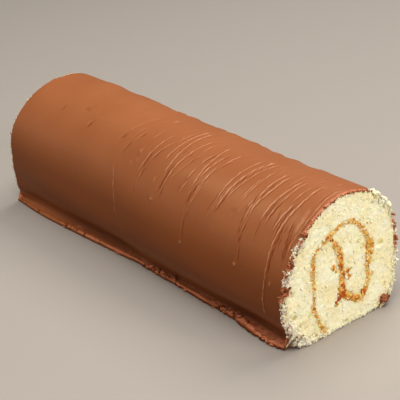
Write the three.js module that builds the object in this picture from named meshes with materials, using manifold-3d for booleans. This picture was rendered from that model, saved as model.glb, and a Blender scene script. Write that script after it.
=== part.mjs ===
// Swiss roll cake: a sheet of sponge rolled round a layer of jam, under a thin coat of chocolate
// that runs out into a foot along one side. The roll lies along X, with a cut face at each end,
// and stands on Z = 0. The chocolate's foot is on the -Y side. All sizes are in millimetres.

import * as THREE from 'three';
import { mergeVertices } from 'three/addons/utils/BufferGeometryUtils.js';
import Module from 'manifold-3d';

const wasm = await Module();
wasm.setup();

// ---------------------------------------------------------------- driving dimensions

const LENGTH = 250;        // between the two cut faces
const WIDTH = 78.2;        // of the sponge, across Y
const HEIGHT = 73.6;       // of the sponge
const COAT = 1.4;          // thickness of the chocolate
const GAP = 0.3;           // kept between two solids that touch
const STRETCHES = 12;      // facets along the length, the same for every solid

const FOOT_EDGE = -36.2;   // Y of the foot's edge on the plain section
const FOOT_RIM = 2.3;      // height of the foot at its edge
const FOOT_DISH = 1.9;     // height of the foot at its hollow
const CREASE = { y: -28.8, z: 4 };           // where the foot meets the side
const LIP = { y: 28.5, low: 0.3, high: 1.2 };  // end of the chocolate, tucked under the other side

const FAR_NARROWING = 1.2; // how much less the -Y side swells at the far end
const FAR_SHOULDER = 1.6;  // how much more the -Y shoulder swells there
const FAR_SINKING = 1.8;   // how much lower the far end is

const OUTLINE_FACETS = 54;
const JAM_FACETS = 33;
const RIDGE_FACET = 4.6;   // length of a ridge's facets
const RIDGE_SIDES = 6;

// The sponge's section as shares of half its width and of its height: from one end of the flat
// base up the -Y side, over the top and down the +Y side to the other end of the base.
const OUTLINE_SHARES = [
  [-0.47, 0], [-0.67, 0.06], [-0.86, 0.155], [-0.975, 0.265], [-1.0, 0.40], [-0.945, 0.56],
  [-0.81, 0.715], [-0.60, 0.845], [-0.34, 0.945], [-0.02, 1.0], [0.30, 0.988], [0.575, 0.93],
  [0.81, 0.81], [0.955, 0.66], [1.0, 0.46], [0.99, 0.25], [0.94, 0.10], [0.80, 0.03], [0.57, 0],
];

// The jam in the section, from its mouth in the base to its inner end: Y, Z, thickness.
const JAM_ROUTE = [
  [-10.5, 1, 2.2], [-14.5, 8.5, 1.9], [-16.5, 14, 1.0], [-19.3, 18.5, 2.8], [-18.7, 27, 1.7],
  [-19, 36, 2.3], [-19.2, 43, 2.8], [-17.6, 49, 1.0], [-13.8, 52.4, 1.2], [-9, 55.6, 3.2],
  [-3.2, 57.6, 1.1], [3.5, 59.2, 1.3], [8.7, 58.3, 1.9], [14.5, 52.5, 1.8], [20, 46.8, 2.9],
  [21.8, 39.5, 4.6], [20.2, 31, 3.4], [21.2, 22.5, 1.8], [19, 15.6, 2.4], [14, 12.4, 4.4],
  [7.5, 15.2, 4.4], [2.2, 20.2, 4.4], [1.6, 28, 3.6], [0.6, 37, 3.6], [-1.2, 44.2, 3.0],
  [-4.9, 52.2, 1.5],
];

// Wandering lines along the length: X and the shift in Y.
const CREASE_SHIFT = [
  [-125, -5.1], [-88, -2.2], [-58, 0.4], [-24, 2.1], [5, -0.3], [50, 0.4], [94, 2.1], [125, 0],
];
const EDGE_SHIFT = [
  [-125, 0], [-94, -3.3], [-58, -1.1], [-30, 1.6], [-4, 3.1], [17, 1.7], [54, 0.4], [70, 1.9],
  [106, -1.8], [125, 0.2],
];

// Ridges that the brush left in the chocolate, each running round the roll. A line holds the
// points it runs through: X and the distance round the coat from the crease.
const RIDGES = [
  { radius: 0.70, line: [[-20.5, 66], [-18.5, 77], [-16.5, 84], [-13, 90]] },
  { radius: 0.70, line: [[-1, 58], [-1.2, 70], [0.5, 80], [3.2, 90]] },
  { radius: 0.75, line: [[1.5, 67], [4, 73], [6.5, 79], [9, 87]] },
  { radius: 0.60, line: [[12.3, 71], [13.2, 84], [14.4, 91], [16, 98]] },
  { radius: 0.65, line: [[18.9, 63], [18.4, 76], [18.1, 88], [19.3, 102]] },
  { radius: 0.75, line: [[22.3, 50], [20.8, 60], [21.5, 70], [25, 83], [29.5, 97]] },
  { radius: 0.60, line: [[26.5, 69], [29, 76], [31, 81], [32.8, 88]] },
  { radius: 0.65, line: [[34.4, 59], [35, 68], [36, 76], [39.5, 88]] },
  { radius: 0.75, line: [[45.6, 37], [44.6, 48], [43, 62], [41.5, 72], [41, 84], [41.5, 96]] },
  { radius: 0.75, line: [[44.8, 61], [47, 70], [48, 78], [51, 86], [54.4, 95]] },
  { radius: 0.70, line: [[60.8, 64], [62.5, 76], [63.8, 83], [68.4, 95]] },
  { radius: 0.75, line: [[64.2, 59], [65.8, 74], [68.5, 84], [75, 99]] },
  { radius: 0.65, line: [[66, 67], [68.2, 76], [72, 85], [77.5, 98]] },
  { radius: 0.65, line: [[77.5, 71], [79, 81], [81.6, 95]] },
  { radius: 0.70, line: [[82.6, 63], [83.3, 69], [84.8, 76], [87.2, 87], [90, 96]] },
  { radius: 0.78, line: [[89.6, 43], [87.2, 52], [86.4, 66], [89, 78], [92.3, 95]] },
  { radius: 0.70, line: [[96.3, 65], [96, 70], [97.2, 78], [100.8, 94]] },
  { radius: 0.65, line: [[98.2, 65], [99.6, 73], [101.5, 82], [103.3, 95]] },
  { radius: 0.65, line: [[106.2, 62], [107, 72], [108.4, 80]] },
  { radius: 0.80, line: [[111, 18], [110.8, 27], [111.6, 40], [110.7, 56], [110.4, 70], [112.3, 95]] },
];
// The hidden side carries the same kind of ridges, one for each of these places along X.
const BACK_RIDGES = [-62, -14, 22, 48, 71, 93];
const BACK_FROM = 128;
const BACK_TO = 172;
// Drops where a ridge runs out: X, distance from the crease.
const DROPS = [[45.7, 35.4], [88.5, 38.7], [115.4, 38], [16.3, 50.2]];
const DROP_RADIUS = 1.1;

// Pits torn out of the sponge's ends, and lumps of crumb pushed out of its low corner: centre
// and half sizes along X, Y, Z.
const TEARS = [
  { at: [126.5, -25, 8.5], size: [3.5, 3, 3.4] },
  { at: [-126, 31, 6], size: [4, 7, 6] },
];
const LUMPS = [
  { at: [122.9, -28.6, 4.5], size: [2, 3.4, 3.8] },
  { at: [122.7, -31.2, 4.1], size: [1.8, 2.7, 3] },
  { at: [122.8, -32, 8], size: [1.9, 3.2, 3.8] },
];

// ---------------------------------------------------------------- small helpers

const smooth = THREE.MathUtils.smoothstep;
const between = (value, low, high) => smooth(value, Math.min(low, high), Math.max(low, high));

/** A smooth function of X through [X, value] pairs. */
function along(pairs) {
  const curve = new THREE.SplineCurve(pairs.map(([x, value]) => new THREE.Vector2(x, value)));
  const first = pairs[0][0];
  const last = pairs.at(-1)[0];
  return (x) => {
    const aim = THREE.MathUtils.clamp(x, first, last);
    let low = 0;
    let high = 1;
    for (let turn = 0; turn < 24; turn += 1) {
      const middle = (low + high) / 2;
      if (curve.getPoint(middle).x < aim) low = middle;
      else high = middle;
    }
    return curve.getPoint(low).y;
  };
}

/** The closed solid of a geometry, for joining and cutting. */
function solidOf(geometry) {
  const bare = geometry.clone();
  bare.deleteAttribute('normal');
  bare.deleteAttribute('uv');
  const merged = mergeVertices(bare, 1e-4);
  return new wasm.Manifold(new wasm.Mesh({
    numProp: 3,
    vertProperties: Float32Array.from(merged.attributes.position.array),
    triVerts: Uint32Array.from(merged.index.array),
  }));
}

/** The geometry of a solid, with flat faces. */
function geometryOf(solid) {
  const mesh = solid.getMesh();
  const geometry = new THREE.BufferGeometry();
  geometry.setAttribute('position', new THREE.BufferAttribute(mesh.vertProperties, 3));
  geometry.setIndex(new THREE.BufferAttribute(mesh.triVerts, 1));
  return geometry;
}

// ---------------------------------------------------------------- the hand-made form

const creaseShift = along(CREASE_SHIFT);
const edgeShift = along(EDGE_SHIFT);

/** Where a point of the plain, straight roll lies on the uneven one. The base stays flat. */
function uneven(x, y, z) {
  const far = THREE.MathUtils.clamp(0.5 - x / LENGTH, 0, 1);
  const side = between(-y, 8, 38);
  const flank = side * Math.sin(Math.PI * THREE.MathUtils.clamp(z / 55, 0, 1));
  const low = between(-y, 14, 27) * (1 - smooth(z, 4, 20));
  const outer = THREE.MathUtils.clamp((y - CREASE.y) / (FOOT_EDGE - CREASE.y), 0, 1)
    * (1 - smooth(z, 3, 5.5));
  const hem = THREE.MathUtils.lerp(creaseShift(x) * low, edgeShift(x), outer);
  const shoulder = between(-y, 0, 20) * Math.sin(Math.PI * THREE.MathUtils.clamp(z / 45 - 0.75, 0, 1));
  const swell = 0.45 * Math.sin(x / 19 + z / 11) * flank
    + far * (FAR_NARROWING * flank - FAR_SHOULDER * shoulder);
  const height = 1 - (FAR_SINKING * far + 0.35 * Math.sin(x / 24 + y / 15)) / HEIGHT;
  return new THREE.Vector3(x, y + hem + swell, z * height);
}

/** A section of points [Y, Z], drawn out along X; trim gives how far back each end is cut. */
function drawnOut(points, trim) {
  const shape = new THREE.Shape(points);
  const geometry = new THREE.ExtrudeGeometry(shape, {
    depth: LENGTH, steps: STRETCHES, bevelEnabled: false, curveSegments: 1,
  });
  const position = geometry.attributes.position;
  for (let i = 0; i < position.count; i += 1) {
    const y = position.getX(i);
    const z = position.getY(i);
    let x = position.getZ(i) - LENGTH / 2;
    if (Math.abs(x) > LENGTH / 2 - 1e-3) x -= Math.sign(x) * trim(Math.sign(x), y, z);
    const moved = uneven(x, y, z);
    position.setXYZ(i, moved.x, moved.y, moved.z);
  }
  return geometry;
}

// ---------------------------------------------------------------- the section

const OUTLINE = new THREE.SplineCurve(
  OUTLINE_SHARES.map(([y, z]) => new THREE.Vector2(y * WIDTH / 2, z * HEIGHT)),
);
OUTLINE.arcLengthDivisions = 600;

/** The point at share u of the outline, moved out square to it by grow. */
function onOutline(u, grow) {
  const point = OUTLINE.getPointAt(u);
  const tangent = OUTLINE.getTangentAt(u);
  return new THREE.Vector2(point.x - tangent.y * grow, point.y + tangent.x * grow);
}

/** One side of the jam's route, moved out by its half thickness and by clear, also at its end. */
function jamSide(side, clear) {
  const route = new THREE.CatmullRomCurve3(JAM_ROUTE.map((row) => new THREE.Vector3(...row)));
  const points = [];
  for (let i = 0; i <= JAM_FACETS; i += 1) {
    const { x: y, y: z, z: thickness } = route.getPoint(i / JAM_FACETS);
    const tangent = route.getTangent(i / JAM_FACETS);
    const run = Math.hypot(tangent.x, tangent.y);
    const out = side * (thickness / 2 + clear) / run;
    const on = i === JAM_FACETS ? clear / run : 0;
    points.push(new THREE.Vector2(
      y - tangent.y * out + tangent.x * on, z + tangent.x * out + tangent.y * on,
    ));
  }
  return points;
}

const LEFT = 1;
const RIGHT = -1;

/** The sponge's section: the outline, cut along the jam from the base inwards. */
function spongeSection() {
  const shell = [];
  for (let i = 0; i <= OUTLINE_FACETS; i += 1) shell.push(onOutline(i / OUTLINE_FACETS, 0));
  const right = jamSide(RIGHT, GAP);
  const left = jamSide(LEFT, GAP);
  const mouth = [right[0], left[0]].map((point) => new THREE.Vector2(point.x, 0));
  return [...shell, mouth[0], ...right, ...left.reverse(), mouth[1]];
}

/** The jam's section. */
function jamSection() {
  return [...jamSide(LEFT, 0), ...jamSide(RIGHT, 0).reverse()];
}

/** The chocolate's section: foot, outer face, tucked lip, and back along the sponge. */
function coatSection() {
  const foot = [
    [FOOT_EDGE + 0.7, 0], [FOOT_EDGE, 0.7], [FOOT_EDGE + 0.2, FOOT_RIM - 0.5],
    [FOOT_EDGE + 1.1, FOOT_RIM], [(FOOT_EDGE + CREASE.y) / 2, FOOT_DISH],
    [CREASE.y - 1, CREASE.z - 1.5], [CREASE.y, CREASE.z - 0.3],
  ];
  const lip = [[LIP.y + 4, LIP.low], [LIP.y + 0.8, LIP.low], [LIP.y, (LIP.low + LIP.high) / 2]];
  const outer = [];
  const inner = [];
  for (let i = 0; i <= OUTLINE_FACETS; i += 1) {
    const u = i / OUTLINE_FACETS;
    const out = onOutline(u, GAP + COAT);
    const inside = onOutline(u, GAP);
    const left = u < 0.5;
    if (left ? out.y > CREASE.z + 0.2 : out.y > LIP.low + 0.3) outer.push(out);
    if (inside.y > (left ? GAP : LIP.high)) inner.push(inside);
  }
  const toVector = ([y, z]) => new THREE.Vector2(y, z);
  const heel = new THREE.Vector2(inner[0].x + 1.2, 0);
  return [...foot.map(toVector), ...outer, ...lip.map(toVector), ...inner.reverse(), heel];
}

// ---------------------------------------------------------------- ends

/** How far back a cut face lies at one place of the sponge and the jam. */
function crumbTrim(end, y, z) {
  return 0.3 + 0.3 * Math.sin(y / 4.1 + end) * Math.sin(z / 5.2 + 2 * end);
}

/** How far back the ragged rim of the chocolate lies. It gives way most low on the -Y side. */
function rimTrim(end, y, z) {
  const flakes = 0.5 * Math.sin(1.7 * y + 0.9 * z + end) + 0.4 * Math.sin(0.8 * z - 1.1 * y);
  const torn = (1 - smooth(z, 22, 31)) * between(-y, 10, 20) * (end > 0 ? 4.2 : 0.6);
  return (end > 0 ? 1.4 : 1.0) + flakes + torn;
}

// ---------------------------------------------------------------- ridges and drops

/** The chocolate's outer face in the section, and how far along it the crease lies. */
const COAT_LINE = new THREE.SplineCurve(
  Array.from({ length: OUTLINE_FACETS + 1 }, (_, i) => onOutline(i / OUTLINE_FACETS, GAP + COAT)),
);
let creaseArc = 0;
while (COAT_LINE.getPointAt(creaseArc / COAT_LINE.getLength()).y < CREASE.z) creaseArc += 0.1;

/** The chocolate's surface at x, a distance in mm round from the crease, lifted by lift. */
function onCoat(x, distance, lift) {
  const share = Math.min((creaseArc + distance) / COAT_LINE.getLength(), 1);
  const point = COAT_LINE.getPointAt(share);
  const tangent = COAT_LINE.getTangentAt(share);
  return uneven(x, point.x - tangent.y * lift, point.y + tangent.x * lift);
}

/** A rounded ridge round the roll. Both of its ends sink into the chocolate. */
function ridge({ line, radius }) {
  const course = new THREE.SplineCurve(line.map((place) => new THREE.Vector2(...place)));
  const count = Math.max(4, Math.ceil(course.getLength() / RIDGE_FACET));
  const points = course.getPoints(count).map(({ x, y: distance }, i) => {
    const sink = i === 0 || i === count ? -radius : -0.15 * radius;
    return onCoat(x, distance, sink);
  });
  const section = new THREE.Shape(
    new THREE.EllipseCurve(0, 0, radius, radius).getPoints(RIDGE_SIDES).slice(0, RIDGE_SIDES),
  );
  return new THREE.ExtrudeGeometry(section, {
    steps: count, bevelEnabled: false, extrudePath: new THREE.CatmullRomCurve3(points),
  });
}

/** Ridges of the hidden side, which vary in place, length and lean by a fixed rule. */
function backRidges() {
  return BACK_RIDGES.map((x, i) => {
    const lean = 0.8 * Math.sin(3.1 * i);
    return {
      radius: 0.75 + 0.1 * Math.cos(i),
      line: [
        [x - 0.5 * lean, BACK_FROM + 9 * Math.sin(2.3 * i)],
        [x, (BACK_FROM + BACK_TO) / 2],
        [x + lean, BACK_TO + 12 * Math.sin(1.7 * i + 1)],
      ],
    };
  });
}

/** A drop of chocolate, half sunk in the coat. */
function drop([x, distance]) {
  const geometry = new THREE.IcosahedronGeometry(DROP_RADIUS, 1);
  const at = onCoat(x, distance, 0);
  return geometry.translate(at.x, at.y, at.z);
}

/** A rough ball, for a pit or a lump in the crumb. */
function knob({ at, size }) {
  return new THREE.IcosahedronGeometry(1, 1).scale(...size).translate(...at);
}

// ---------------------------------------------------------------- the pieces

/** The rolled sponge, one sheet from the outer turn to the core. */
function sponge() {
  let roll = solidOf(drawnOut(spongeSection(), crumbTrim));
  for (const place of LUMPS) roll = roll.add(solidOf(knob(place)));
  for (const place of TEARS) roll = roll.subtract(solidOf(knob(place)));
  return geometryOf(roll);
}

/** The layer of jam between the turns. */
function jam() {
  return drawnOut(jamSection(), (end, y, z) => crumbTrim(end, y, z) + 0.2);
}

/** The chocolate coat with its foot, ridges and drops. */
function coat() {
  let shell = solidOf(drawnOut(coatSection(), rimTrim));
  for (const line of [...RIDGES, ...backRidges()]) shell = shell.add(solidOf(ridge(line)));
  for (const place of DROPS) shell = shell.add(solidOf(drop(place)));
  return geometryOf(shell);
}

/** One named piece with its own finish. */
function piece(name, geometry, color, roughness) {
  const mesh = new THREE.Mesh(
    geometry, new THREE.MeshStandardMaterial({ color, roughness, metalness: 0 }),
  );
  mesh.name = name;
  return mesh;
}

const cake = new THREE.Group();
cake.add(
  piece('sponge', sponge(), 0xf2e4ba, 0.95),
  piece('jam', jam(), 0xc98a45, 0.3),
  piece('coat', coat(), 0x8a4a2c, 0.45),
);

export default cake;
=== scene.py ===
"""Swiss roll cake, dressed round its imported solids.

A sheet of pale sponge rolled round a layer of apricot jam lies under a thin coat of brushed milk
chocolate, which runs out into a foot along one side. Sizes are in millimetres until a mesh is
finished, which turns them into metres. X runs along the roll, Z is up, and the chocolate's foot
is on the -Y side. A place in the section is Y, Z. A place on the coat is X and "around", which is
the distance round the roll from the crease over the foot, below 0 on the foot itself.
"""

import logging
import math
from dataclasses import dataclass
from enum import Enum
from functools import cached_property
from typing import Any, Callable, Iterable, Iterator, Sequence

import bmesh
import bpy
import numpy as np
from mathutils import Matrix, Vector, noise


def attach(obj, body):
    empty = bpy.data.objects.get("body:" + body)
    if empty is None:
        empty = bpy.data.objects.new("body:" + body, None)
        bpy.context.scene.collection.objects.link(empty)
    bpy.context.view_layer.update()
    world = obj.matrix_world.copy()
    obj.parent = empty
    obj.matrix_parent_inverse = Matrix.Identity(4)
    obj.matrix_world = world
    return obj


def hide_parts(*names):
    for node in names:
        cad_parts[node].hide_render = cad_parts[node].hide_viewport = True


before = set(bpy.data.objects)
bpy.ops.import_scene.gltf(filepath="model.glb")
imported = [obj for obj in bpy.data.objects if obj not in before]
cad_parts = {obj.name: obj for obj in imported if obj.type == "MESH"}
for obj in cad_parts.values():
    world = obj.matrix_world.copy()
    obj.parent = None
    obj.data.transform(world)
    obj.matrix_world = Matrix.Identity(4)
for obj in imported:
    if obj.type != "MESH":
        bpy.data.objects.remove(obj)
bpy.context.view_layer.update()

LOG = logging.getLogger("swiss_roll")
MM = 0.001

Array = np.ndarray
Pair = tuple[float, float]
Triple = tuple[float, float, float]
Rows = tuple[tuple[float, ...], ...]
Mesh = bmesh.types.BMesh
Vertices = Sequence[bmesh.types.BMVert]
Socket = bpy.types.NodeSocket
Material = bpy.types.Material


# ------------------------------------------------------------------------------ small maths


def smooth(value: Array | float, low: float, high: float) -> Array:
    """A smooth step from 0 at low to 1 at high."""
    share = np.clip((np.asarray(value, float) - low) / (high - low), 0.0, 1.0)
    return share * share * (3.0 - 2.0 * share)


def plateau(value: Array, rise: Pair, fall: Pair) -> Array:
    """A smooth step up over the rise and down again over the fall."""
    return smooth(value, *rise) * (1 - smooth(value, *fall))


def hump(value: Array, middle: float, reach: float | Array) -> Array:
    """A rounded hump of height 1 at middle, down to nothing by about twice reach."""
    return np.exp(-(((value - middle) / reach) ** 2))


def bounded(value: float, low: float, high: float) -> float:
    """The value, or the nearer of the two bounds if it lies outside them."""
    return min(max(value, low), high)


def unit(vector: Array) -> Array:
    """The vector at length 1."""
    return vector / np.linalg.norm(vector)


def grain(points: Array, scale: float | Triple, seed: float | Array = 0.0) -> Array:
    """Smooth noise from -1 to 1 at each row of points, whose swells are scale long."""
    rows = points / np.asarray(scale, float) + np.multiply.outer(seed, (1.0, 1.7, -0.6))
    return np.array([noise.noise(Vector(row)) for row in rows.tolist()])


def cells(points: Array, scale: float, seed: float) -> Array:
    """How far each row of points is from the nearest of a set of scattered ones, in scales."""
    rows = points / scale + np.array([seed, -0.8 * seed, 1.3 * seed])
    return np.array([noise.voronoi(Vector(row))[0][0] for row in rows.tolist()])


def turned_left(vectors: Array) -> Array:
    """The vectors of a plane, turned a quarter to the left."""
    return np.stack([-vectors[..., 1], vectors[..., 0]], -1)


def joined(x: Array | float, section: Array) -> Array:
    """Places in space from an X and rows of Y, Z."""
    return np.column_stack([np.broadcast_to(x, len(section)), section])


class Curve:
    """A smooth curve through a few given points, measured along its length."""

    def __init__(self, points: Sequence[Sequence[float]], samples: int = 40) -> None:
        """Samples the curve.

        Args:
            points: the points that it runs through.
            samples: samples between two neighbouring points.
        """
        given = np.asarray(points, float)
        count = len(given) - 1
        place = np.linspace(0.0, count, count * samples + 1)
        index = np.minimum(place.astype(int), count - 1)
        share = (place - index)[:, None]
        before, here = given[np.maximum(index - 1, 0)], given[index]
        there, after = given[index + 1], given[np.minimum(index + 2, count)]
        out, back = (there - before) / 2.0, (after - here) / 2.0
        self.points = (
            (2 * here - 2 * there + out + back) * share**3
            + (3 * there - 3 * here - 2 * out - back) * share**2
            + out * share
            + here
        )
        steps = np.linalg.norm(np.diff(self.points, axis=0), axis=1)
        self.run = np.concatenate([[0.0], np.cumsum(steps)])

    @property
    def length(self) -> float:
        """Length of the whole curve."""
        return float(self.run[-1])

    def at(self, distance: Array) -> Array:
        """The points at these distances along the curve."""
        distance = np.asarray(distance, float)
        return np.stack([np.interp(distance, self.run, axis) for axis in self.points.T], -1)

    def tangent(self, distance: Array, step: float = 0.25) -> Array:
        """Unit tangents in the plane of the first two coordinates, at these distances."""
        ahead = self.at(np.minimum(np.asarray(distance) + step, self.length))
        behind = self.at(np.maximum(np.asarray(distance) - step, 0.0))
        across = (ahead - behind)[..., :2]
        return across / np.linalg.norm(across, axis=-1, keepdims=True)

    def value(self, first: Array) -> Array:
        """The second coordinate where the first one has these values, for a curve of pairs."""
        return np.interp(first, self.points[:, 0], self.points[:, 1])


def nearest_on(places: Array, line: Array, block: int = 4000) -> tuple[Array, Array]:
    """The nearest of a line's points to each place.

    Args:
        places: rows of Y, Z.
        line: rows of Y, Z along the line.
        block: how many places are measured at once.

    Returns:
        The index of the nearest point for each place, and how far away it is.
    """
    index, gap = np.empty(len(places), int), np.empty(len(places))
    for low in range(0, len(places), block):
        apart = ((places[low:low + block, None] - line) ** 2).sum(2)
        index[low:low + block] = apart.argmin(1)
        gap[low:low + block] = np.sqrt(apart.min(1))
    return index, gap


def beside_closed(points: Array, line: Array, block: int = 2000) -> tuple[Array, Array]:
    """Where points of a plane lie beside a closed line.

    Args:
        points: rows of Y, Z.
        line: the closed line's corners.
        block: how many points are measured at once.

    Returns:
        The nearest place on the line for each point, and whether each point is inside.
    """
    start, end = line, np.roll(line, -1, axis=0)
    run = end - start
    size = np.maximum((run**2).sum(1), 1e-12)
    best = np.empty_like(points)
    inside = np.empty(len(points), bool)
    for low in range(0, len(points), block):
        some = points[low:low + block, None, :]
        share = np.clip(((some - start) * run).sum(2) / size, 0, 1)
        foot = start + share[..., None] * run
        gap = ((some - foot) ** 2).sum(2)
        best[low:low + block] = foot[np.arange(len(some)), gap.argmin(1)]
        rising = (start[:, 1] > some[..., 1]) != (end[:, 1] > some[..., 1])
        with np.errstate(divide="ignore", invalid="ignore"):
            cross = start[:, 0] + (some[..., 1] - start[:, 1]) / run[:, 1] * run[:, 0]
        inside[low:low + block] = (rising & (some[..., 0] < cross)).sum(1) % 2 == 1
    return best, inside


# ------------------------------------------------------------------------------ the roll's form


@dataclass(frozen=True)
class RollForm:
    """The form that the sponge, the jam and the coat share.

    The outline's points are shares of half the width and of the height. The shifts move the
    crease and the foot's edge in Y, and the rise lifts the far shoulder, all by X.
    """

    length: float = 250.0
    width: float = 78.2
    height: float = 73.6
    coat: float = 1.4
    seam: float = 0.3
    foot_edge: float = -36.2
    crease: float = -28.8
    lip: float = 28.5
    far_narrowing: float = 1.2
    far_shoulder: float = 1.6
    far_sinking: float = 1.8
    outline_shares: Rows = (
        (-0.47, 0), (-0.67, 0.06), (-0.86, 0.155), (-0.975, 0.265), (-1.0, 0.40),
        (-0.945, 0.56), (-0.81, 0.715), (-0.60, 0.845), (-0.34, 0.945), (-0.02, 1.0),
        (0.30, 0.988), (0.575, 0.93), (0.81, 0.81), (0.955, 0.66), (1.0, 0.46),
        (0.99, 0.25), (0.94, 0.10), (0.80, 0.03), (0.57, 0),
    )
    crease_shift: Rows = (
        (-125, -5.1), (-88, -2.2), (-58, 0.4), (-24, 2.1), (5, -0.3), (50, 0.4), (94, 2.1),
        (125, 0),
    )
    edge_shift: Rows = (
        (-125, -2.0), (-94, -3.3), (-58, -1.6), (-44, -0.8), (-30, 0.3), (-15, 1.3), (-4, 2.4),
        (17, 1.9), (30, 2.2), (45, 1.8), (58, 1.5), (72, 1.9), (90, 0.7), (106, -1.6), (125, 0.2),
    )
    shoulder_rise: Rows = (
        (-125, 0.8), (-103, 0.8), (-92, 1.4), (-83, 0.5), (-72, 0.4), (-61, 0.9), (-45, 0.6),
        (-36, 0.1), (-10, 0.2), (30, 0.0), (40, -0.5), (50, -1.1), (60, -1.4), (70, -1.1),
        (79, -1.6), (91, -0.7), (103, -0.4), (115, 0.0), (125, 0.0),
    )

    @property
    def half(self) -> float:
        """Half the roll's length, which is X of the near cut face."""
        return self.length / 2

    def cuts(self) -> Array:
        """X of the cuts that let a long wall follow the roll's unevenness."""
        return np.linspace(-0.85, 0.85, 14) * self.half

    def outline(self) -> Curve:
        """The sponge's outline in the section, from the base up the -Y side and round."""
        return Curve([(y * self.width / 2, z * self.height) for y, z in self.outline_shares])

    def grown(self, grow: float) -> Array:
        """Dense points of the outline, moved out square to it by grow."""
        line = self.outline()
        distance = np.linspace(0.0, line.length, 900)
        return line.at(distance) + turned_left(line.tangent(distance)) * grow

    def uneven(self, place: Array) -> Array:
        """Moves points of the plain, straight roll to the uneven one. The base stays flat."""
        x, y, z = place.T
        far = np.clip(0.5 - x / self.length, 0, 1)
        flank = smooth(-y, 8, 38) * np.sin(np.pi * np.clip(z / 55, 0, 1))
        low = smooth(-y, 14, 27) * (1 - smooth(z, 4, 20))
        foot = np.clip((y - self.crease) / (self.foot_edge - self.crease), 0, 1)
        foot = foot * (1 - smooth(z, 3, 5.5))
        hem = (1 - foot) * Curve(self.crease_shift).value(x) * low
        hem = hem + foot * Curve(self.edge_shift).value(x)
        shoulder = smooth(-y, 0, 20) * np.sin(np.pi * np.clip(z / 45 - 0.75, 0, 1))
        swell = 0.45 * np.sin(x / 19 + z / 11) * flank
        swell += far * (self.far_narrowing * flank - self.far_shoulder * shoulder)
        rise = Curve(self.shoulder_rise).value(x) * smooth(y, 2, 18) * smooth(z, 30, 62)
        sinking = self.far_sinking * far + 0.35 * np.sin(x / 24 + y / 15)
        return np.stack([x, y + hem + swell, z * (1 - sinking / self.height) + rise], -1)

    def spot(self, x: float, section: Sequence[float], lowest: float = 0.0) -> Array:
        """One place of the uneven roll, from X and Y, Z of the plain one, at least so high."""
        return self.uneven(np.array([[x, section[0], max(section[1], lowest)]]))[0]


FORM = RollForm()


# ------------------------------------------------------------------------------ mesh helpers


def place_vertices(vertices: Vertices, places: Array) -> None:
    """Moves vertices to the rows of places."""
    for vertex, place in zip(vertices, places.tolist()):
        vertex.co = place


def positions(vertices: Iterable[bmesh.types.BMVert]) -> Array:
    """The vertices' places as rows."""
    return np.array([vertex.co[:] for vertex in vertices], float).reshape(-1, 3)


def new_mesh(*numbers: str, vector: str | None = None) -> Mesh:
    """An empty mesh with room for values that a material reads.

    Args:
        *numbers: names of the values that hold one number for each vertex.
        vector: name of a value that holds three numbers, if there is one.
    """
    mesh = bmesh.new()
    for name in numbers:
        mesh.verts.layers.float.new(name)
    if vector:
        mesh.verts.layers.float_vector.new(vector)
    return mesh


def store(mesh: Mesh, vertices: Vertices, **values: Array) -> None:
    """Stores named values for a material to read: a number or three for each vertex."""
    for name, rows in values.items():
        layers = mesh.verts.layers
        layer = layers.float[name] if rows.ndim == 1 else layers.float_vector[name]
        for vertex, value in zip(vertices, rows.tolist()):
            vertex[layer] = value


def sheet_of_quads(
    mesh: Mesh, columns: Array, rows: Array
) -> tuple[list[bmesh.types.BMVert], Array, Array]:
    """Adds a sheet whose lines lie at uneven steps.

    Args:
        mesh: the mesh that it joins.
        columns: the value of each line across, one for each column of vertices.
        rows: the value of each line along, one for each row of vertices.

    Returns:
        The vertices, with the column value and the row value of each.
    """
    made = bmesh.ops.create_grid(
        mesh, x_segments=len(columns) - 1, y_segments=len(rows) - 1, size=1.0
    )["verts"]
    flat = positions(made)
    column = np.rint((flat[:, 0] + 1) / 2 * (len(columns) - 1)).astype(int)
    row = np.rint((flat[:, 1] + 1) / 2 * (len(rows) - 1)).astype(int)
    return made, columns[column], rows[row]


def steps_between(stops: Sequence[float], sizes: Sequence[float]) -> Array:
    """Rising values from the first stop to the last, each stretch with steps of its own size."""
    parts = [np.array([stops[0]])]
    for low, high, size in zip(stops[:-1], stops[1:], sizes):
        parts.append(np.linspace(low, high, max(1, round((high - low) / size)) + 1)[1:])
    return np.concatenate(parts)


def cut_across(mesh: Mesh, places: Iterable[float]) -> None:
    """Cuts a mesh square to X at each place, so that its long walls can follow the roll."""
    for place in places:
        bmesh.ops.bisect_plane(
            mesh, geom=mesh.faces[:] + mesh.edges[:] + mesh.verts[:], plane_co=(place, 0, 0),
            plane_no=(1, 0, 0), dist=1e-4,
        )


def finish_piece(
    name: str, mesh: Mesh, material: Material, replaces: str | None = None
) -> None:
    """Turns a mesh in millimetres into a piece that rides on the cake's body.

    Args:
        name: the piece's name.
        mesh: the finished mesh, which is freed.
        material: its finish.
        replaces: the CAD node that it stands for, if it does.
    """
    bmesh.ops.recalc_face_normals(mesh, faces=mesh.faces[:])
    bmesh.ops.scale(mesh, vec=(MM, MM, MM), verts=mesh.verts[:])
    for face in mesh.faces:
        face.smooth = True
    data = bpy.data.meshes.new(name)
    mesh.to_mesh(data)
    open_edges = sum(1 for edge in mesh.edges if not edge.is_manifold)
    mesh.free()
    data.materials.append(material)
    piece = bpy.data.objects.new(name, data)
    bpy.context.scene.collection.objects.link(piece)
    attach(piece, "root")
    if replaces:
        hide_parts(replaces)
    data.calc_loop_triangles()
    LOG.info("%s: %d triangles, %d open edges", name, len(data.loop_triangles), open_edges)


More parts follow.
